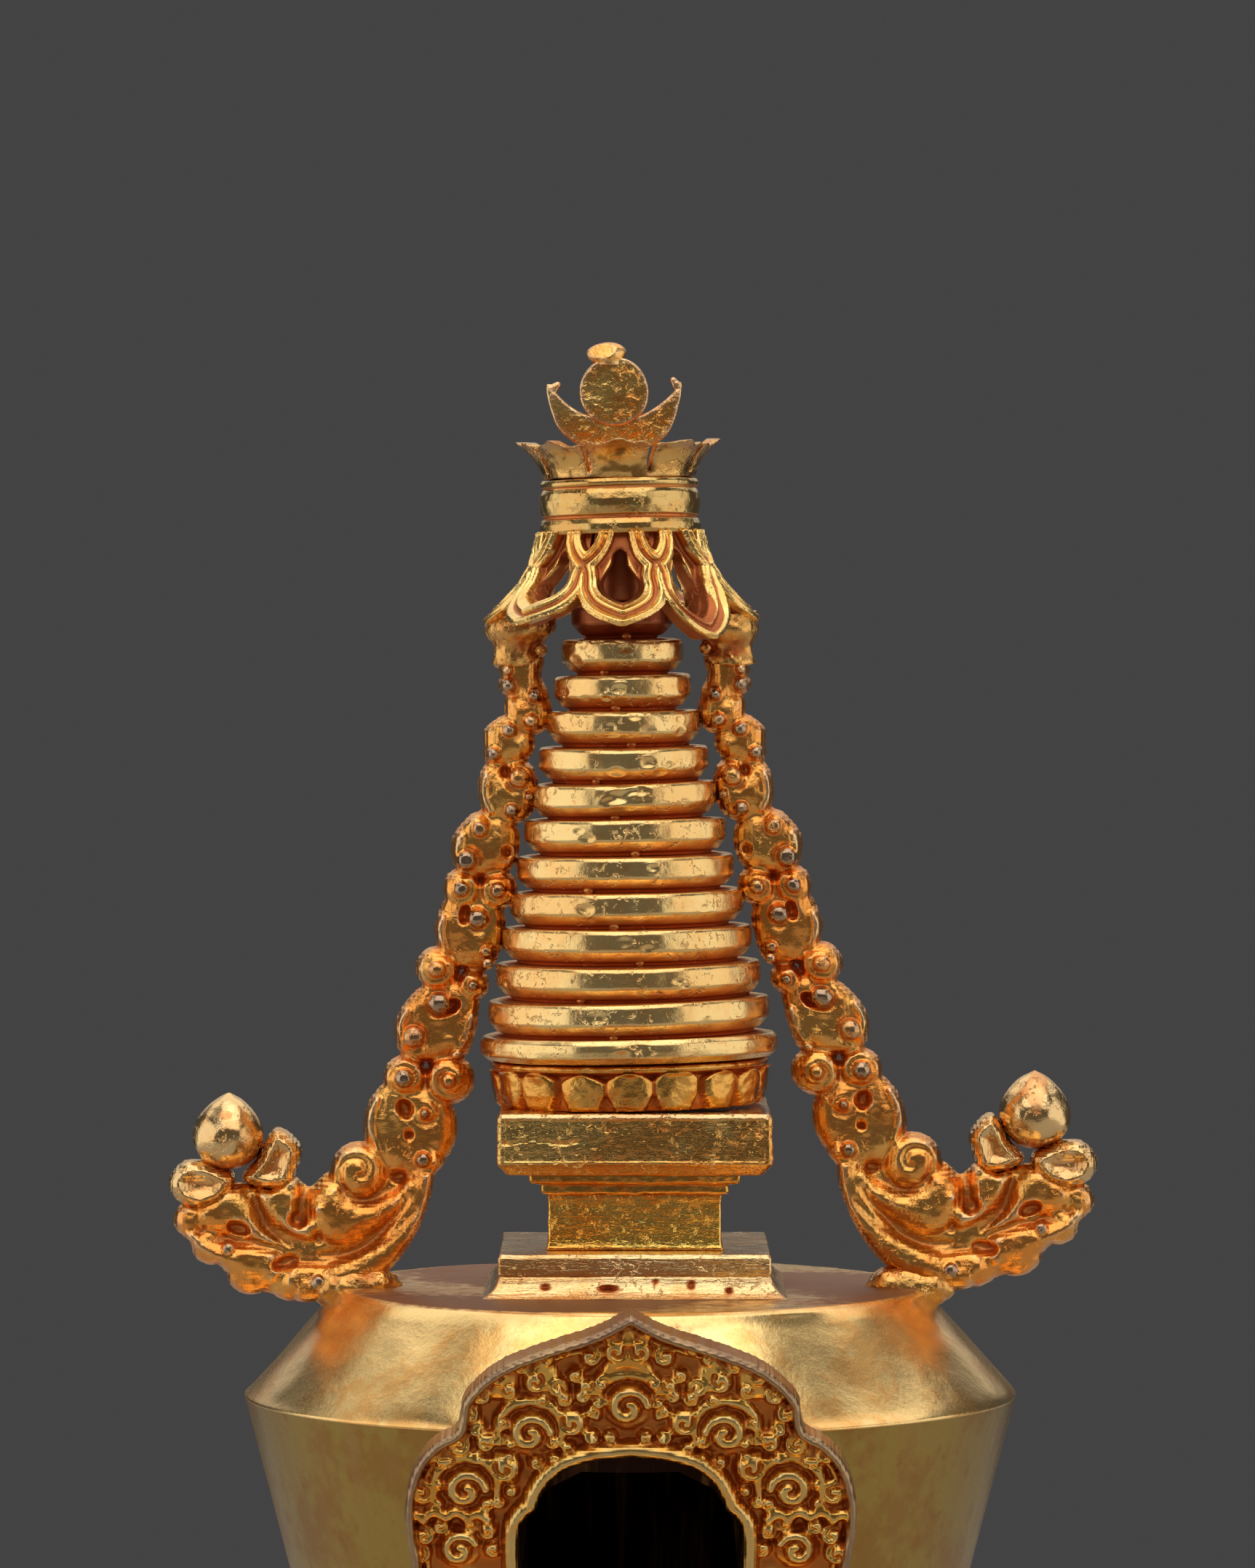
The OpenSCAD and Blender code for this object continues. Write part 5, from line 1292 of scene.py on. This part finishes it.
VV, FF, CC, off = [], [], [], 0
for k in range(1, 13):
    for az in (-8 + 17 * math.sin(k * 2.1), 118 + 20 * math.sin(k), 236 + 20 * math.cos(k * 1.3)):
        a = math.radians(az); rr = R_(k) - 0.98
        t = np.linspace(0, math.pi, 9)
        prof = np.array([[max(0.36 * math.sin(x), 0.004), 0.36 * math.cos(x)] for x in t] + [[0.002, 0]])
        Vb, Fb = lathe(prof, 14)
        Vb = Vb * (1 + 0.25 * vnoise(Vb + k + az, 2.0, 3)[:, None]) + np.array([rr * math.sin(a), -rr * math.cos(a), T_(k + 1) + 0.17])
        VV.append(Vb); FF.append(Fb + off); off += len(Vb)
VV, FF = np.vstack(VV), np.vstack(FF)
build("groove_solder", lean(VV), [FF], M_LUMP, ("ring_tacks",), attrs={"cav": np.full(len(VV), 0.2)})
P = dense([[1.25, 119.95], [2.75, 119.95], [2.6, 121.0], [2.5, 124.15], [1.25, 124.15]], 0.3, 0.1)
V, F = lathe(P, 72)
build("spire_neck", lean(V), [F], M_RING_OLD, ("spire_cap",), attrs={"cav": np.full(len(V), 0.1)})


# ------------------------------------------------------------------ base (below the picture, so a plain reading of the type)
def bcav(zs):
    return lambda hw, z, V: sum(0.5 * np.exp(-((z - a) / 0.22) ** 2) for a in zs) + 0 * z


block("foot_moulding", [[36.9, 1.8], [37.55, 1.8], [37.55, 0.02], [40.3, 0], [40.5, 0.2], [40.5, 1.2], [40.2, 1.6], [39.5, 1.9], [39.45, 2.3],
                        [39.5, 3.3], [39.3, 3.9], [38.6, 4.2], [38.5, 4.5], [38.5, 5.2], [38.2, 5.48], [36.9, 5.48]], 0.8, M_BASE,
      ("foot_plinth",), 0.05, bcav([1.75, 4.15]), 120, 0.3, 0.08, 0.0, sc=0.15)
P_ = [[31.1, 5.52], [36.3, 5.52], [36.5, 5.8], [36.5, 6.3], [36.3, 6.9], [35.9, 7.5], [35.3, 8.1], [34.9, 8.5], [34.8, 8.7], [34.8, 9.1], [34.6, 9.28], [31.1, 9.28]]


def petals(n_half, z0, z1, amp, out=1):
    def fn(U, hw, z, V):
        t = np.clip((z - z0) / (z1 - z0), 0, 1)
        t = t if out > 0 else 1 - t
        H = 34.0
        c = (U / H * n_half)
        a = (c - np.round(c)) * 2
        wz = np.sqrt(np.clip(1 - t ** 2.2, 0, 1)) * 0.94
        q = np.abs(a) / np.maximum(wz, 0.02)
        m = (z > z0 - 0.05) & (z < z1 + 0.05) & (hw > 33) & (np.abs(U) < H + 1.5)
        return m * (amp * np.sqrt(np.clip(1 - q ** 2.4, 0, 1)) - amp * 0.45 * (q > 1))
    return fn


block("lotus_moulding", P_, 1.0, M_BASE, ("throne_moulding",), 0.03, lambda hw, z, V: 0.02 * (z > 5.7) * (z < 8.5), 300, 0.22, 0.05, 0.0,
      extra=petals(9.5, 5.9, 8.5, 0.55, 1), sc=0.3)
block("cornice_lotus", [[30.6, 23.32], [34.9, 23.32], [35.1, 23.5], [35.1, 23.8], [35.4, 24.2], [36.0, 24.8], [36.3, 25.2], [36.4, 25.4],
                        [36.2, 25.58], [30.6, 25.58]], 1.0, M_BASE, ("cornice_lower",), 0.03, lambda hw, z, V: 0.02 * (z > 23.7) * (z < 25.3), 300, 0.2, 0.04,
      0.0, extra=petals(9.5, 23.7, 25.4, 0.45, -1), sc=0.3)
block("cornice_slab", [[30.6, 25.62], [38.6, 25.62], [38.85, 25.85], [38.9, 26.3], [38.85, 26.9], [38.6, 27.15], [37.6, 27.25], [37.5, 27.5],
                       [37.45, 27.85], [37.3, 27.98], [30.6, 27.98]], 0.8, M_BASE, ("cornice_upper",), 0.05, bcav([27.25]), 120, 0.25, 0.06, 0.0, sc=0.15)
for i in range(4):
    h = 34 - 3.8 * i; z = 28.0 + 3.3 * i
    inn = (h - 5.6) if i < 3 else 14.2
    block("terrace_%d" % (i + 1), [[inn, z + 0.02], [h - 0.8, z + 0.02], [h - 0.7, z + 0.2], [h - 0.75, z + 1.55], [h - 0.55, z + 1.8],
                                   [h - 0.12, z + 1.95], [h, z + 2.2], [h, z + 2.95], [h - 0.2, z + 3.28], [inn, z + 3.28]], 0.7, M_BASE,
          ("step_%d" % (i + 1),), 0.05, bcav([z + 1.7, z + 0.05]), 100, 0.25, 0.07, 0.0, sc=0.16)
P = dense([[14.2, 41.22], [20.5, 41.22], [20.9, 41.5], [21.25, 42.0], [21.3, 42.4], [21.1, 42.85], [20.6, 43.05], [20.3, 43.25], [20.25, 43.6],
           [20.1, 43.88], [0.02, 43.88], [0.02, 41.22]], 0.25, 0.05)
V, F = lathe(P, 252)
th = np.arctan2(V[:, 0], -V[:, 1]); r = np.hypot(V[:, 0], V[:, 1])
dr = (r > 19) * 0.04 * fbm(V, 0.3, 3, 3) + 0.14 * np.abs(np.cos(th * 21)) * (V[:, 2] < 42.9) * (r > 20.4)
V[:, 0] += np.sin(th) * dr; V[:, 1] -= np.cos(th) * dr
build("dome_seat_ring", V, [F], M_BASE, ("dome_seat",), attrs={"cav": 0.5 * np.exp(-((V[:, 2] - 43.1) / 0.2) ** 2)})

# panels of scrolling leaves, one for each side
rp = Relief(-30.8, 30.8, 9.4, 23.2, 0.11)
w, d = rp.poly_d([(-30.8, 9.42), (30.8, 9.42), (30.8, 23.18), (-30.8, 23.18)], 1)
rp.H[:] = 0.25
rp.H = np.where(d < 1.55, 0.55 + 0.45 * np.sqrt(np.clip(1 - ((d - 0.8) / 0.8) ** 2, 0, 1)), rp.H)
lot = [(0, 12.2)]
for sx in (-1, 1):
    prev = (0.0, 12.0)
    for i in range(5):
        cx = sx * (4.6 + i * 5.4); up = 1 if i % 2 == 0 else -1
        cz = 16.3 + up * 0.9
        stem = spline([(cx - sx * 3.4, 16.3 - up * 3.0), (cx - sx * 2.7, 16.3 - up * 0.6), (cx - sx * 1.2, 16.3 + up * 3.2), (cx + sx * 1.6, 16.3 + up * 2.6), (cx + sx * 2.2, 16.3)], 6)
        rp.stroke(stem, 0.42, 0.3, 0.75, (0.8, 0.8))
        sp = spiral(0, 0, 2.2, 0.3, 90 * up, -up * 1.5)
        rp.stroke(np.stack([cx + sx * sp[:, 0], cz + sp[:, 1]], 1), 0.42, 0.35, 0.8, (1, 0.8))
        rp.disc(cx, cz, 0.62, 1.1, 0.5, outline=False)
        for q in range(5):
            an = math.radians(50 + q * 62) * up
            lx, lz = cx + sx * 2.9 * math.cos(an), cz + 2.7 * math.sin(an)
            tip = (lx + sx * 1.0 * math.cos(an + 0.6), lz + 0.9 * math.sin(an + 0.6))
            rp.stroke(spline([(cx + sx * 2.0 * math.cos(an), cz + 2.0 * math.sin(an)), (lx, lz), tip], 5), 0.5, 0.3, 0.6, (1.0, 0.35))
for q in range(-3, 4):
    rp.stroke(spline([(q * 0.3, 12.4), (q * 0.8, 14.6), (q * 0.62, 16.8)], 6), 0.5, 0.4, 0.75, (0.8, 0.3))
rp.disc(0, 18.2, 1.3, 1.0, 0.8, outline=False)
keepH = np.where((d > 0) & (d < 1.5), 0, 1)
rp.H = np.where(d < 1.5, np.minimum(rp.H, 1.0), rp.H)
v = Vol((-30.95, 9.3, -0.3), (30.95, 23.3, 1.7), 0.17)
ia = np.clip(((v.lo[0] + v.h * np.arange(v.n[0])) - rp.a0) / rp.h, 0, rp.na - 1.01).astype(int)
ib = np.clip(((v.lo[1] + v.h * np.arange(v.n[1])) - rp.b0) / rp.h, 0, rp.nb - 1.01).astype(int)
H = rp.H[np.ix_(ia, ib)][:, :, None]
f = np.maximum((v.Z - H) * 0.8, -v.Z)
f = np.maximum(f, np.maximum(np.abs(v.X) - 30.75, np.abs(v.Y - 16.3) - 6.9))
V, F, cav = surface(v, f.astype(np.float32), 0.5)
cav = cav + 0.25 * sstep(0.6, 0.3, V[:, 2])
Wp = np.stack([V[:, 0], -32.35 - V[:, 2], V[:, 1]], 1)
for nm, q in (("front", 0), ("right", 90), ("back", 180), ("left", 270)):
    a = math.radians(q); c, s_ = math.cos(a), math.sin(a)
    build("carved_panel_" + nm, np.stack([Wp[:, 0] * c - Wp[:, 1] * s_, Wp[:, 0] * s_ + Wp[:, 1] * c, Wp[:, 2]], 1), [F], M_PANEL,
          ("throne_panel_" + nm,), attrs={"cav": cav})

# ------------------------------------------------------------------ finishes of the CAD nodes that stay
for name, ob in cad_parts.items():
    if ob.hide_render:
        continue
    mat = {"dome_wall": M_DOME, "spire_rod": M_COPPER, "rod_nut": M_COPPER, "seal_plate": M_COPPER, "throne_wall": M_BASE,
           "corner_pillars": M_BASE}.get(name, M_BASE)
    if not ob.data.materials:
        ob.data.materials.append(mat)
    for i in range(len(ob.data.materials)):
        ob.data.materials[i] = mat

# ------------------------------------------------------------------ the place, the lights and the camera
sc = bpy.context.scene
n = 96
fv = np.array([[0, 0, -0.02]] + [[340 * math.cos(a), 340 * math.sin(a), -0.02] for a in np.linspace(0, 2 * math.pi, n, endpoint=False)])
ff = np.array([[0, 1 + i, 1 + (i + 1) % n] for i in range(n)])
t = Tree("pale_paper")
t.b.inputs["Base Color"].default_value = (0.44, 0.43, 0.415, 1)
t.b.inputs["Roughness"].default_value = 0.8
floor = build("floor_disc", fv, [ff], t.m, body=None, check=False)

w = bpy.data.worlds.new("grey_room"); sc.world = w; w.use_nodes = True
bg = w.node_tree.nodes.get("Background")
bg.inputs[0].default_value = (0.0585, 0.0565, 0.0565, 1); bg.inputs[1].default_value = 1.0


def softbox(name, loc, target, sx, sy, rad, col=(1, 0.97, 0.92)):
    L = bpy.data.lights.new(name, "AREA"); L.shape = "RECTANGLE"; L.size = sx; L.size_y = sy
    L.energy = rad * math.pi * sx * sy; L.color = col
    o = bpy.data.objects.new(name, L); bpy.context.scene.collection.objects.link(o)
    o.location = loc
    o.rotation_euler = (Vector(target) - Vector(loc)).to_track_quat("-Z", "Y").to_euler()
    o.visible_camera = False
    return o


softbox("left_box", (-0.30, -0.075, 0.13), (0, -0.075, 0.13), 0.46, 0.40, 1.08)
softbox("right_box", (0.30, -0.11, 0.13), (0, -0.11, 0.13), 0.44, 0.40, 1.0)
softbox("top_box", (0, -0.25, 0.48), (0, 0, 0.11), 0.62, 0.50, 1.5)
softbox("top_back_box", (0, 0.23, 0.50), (0, 0, 0.09), 0.85, 0.30, 1.15)
softbox("over_box", (0, -0.01, 0.56), (0, 0, 0.09), 0.55, 0.20, 1.15)
softbox("front_fill", (0, -0.95, 0.10), (0, 0, 0.10), 1.3, 0.55, 0.06)
softbox("back_fill", (0, 0.66, 0.42), (0, 0, 0.08), 0.9, 0.40, 0.6)

cam = bpy.data.cameras.new("photo_camera")
cam.lens = 171.5; cam.sensor_fit = "VERTICAL"; cam.sensor_height = 36; cam.clip_start = 0.01; cam.clip_end = 20
co = bpy.data.objects.new("photo_camera", cam); sc.collection.objects.link(co)
co.location = (-0.000165, -0.4844, 0.1201); co.rotation_euler = (math.radians(90 - 1.42), 0, 0)
sc.camera = co
sc.view_settings.view_transform = "Standard"
sc.view_settings.look = "None"
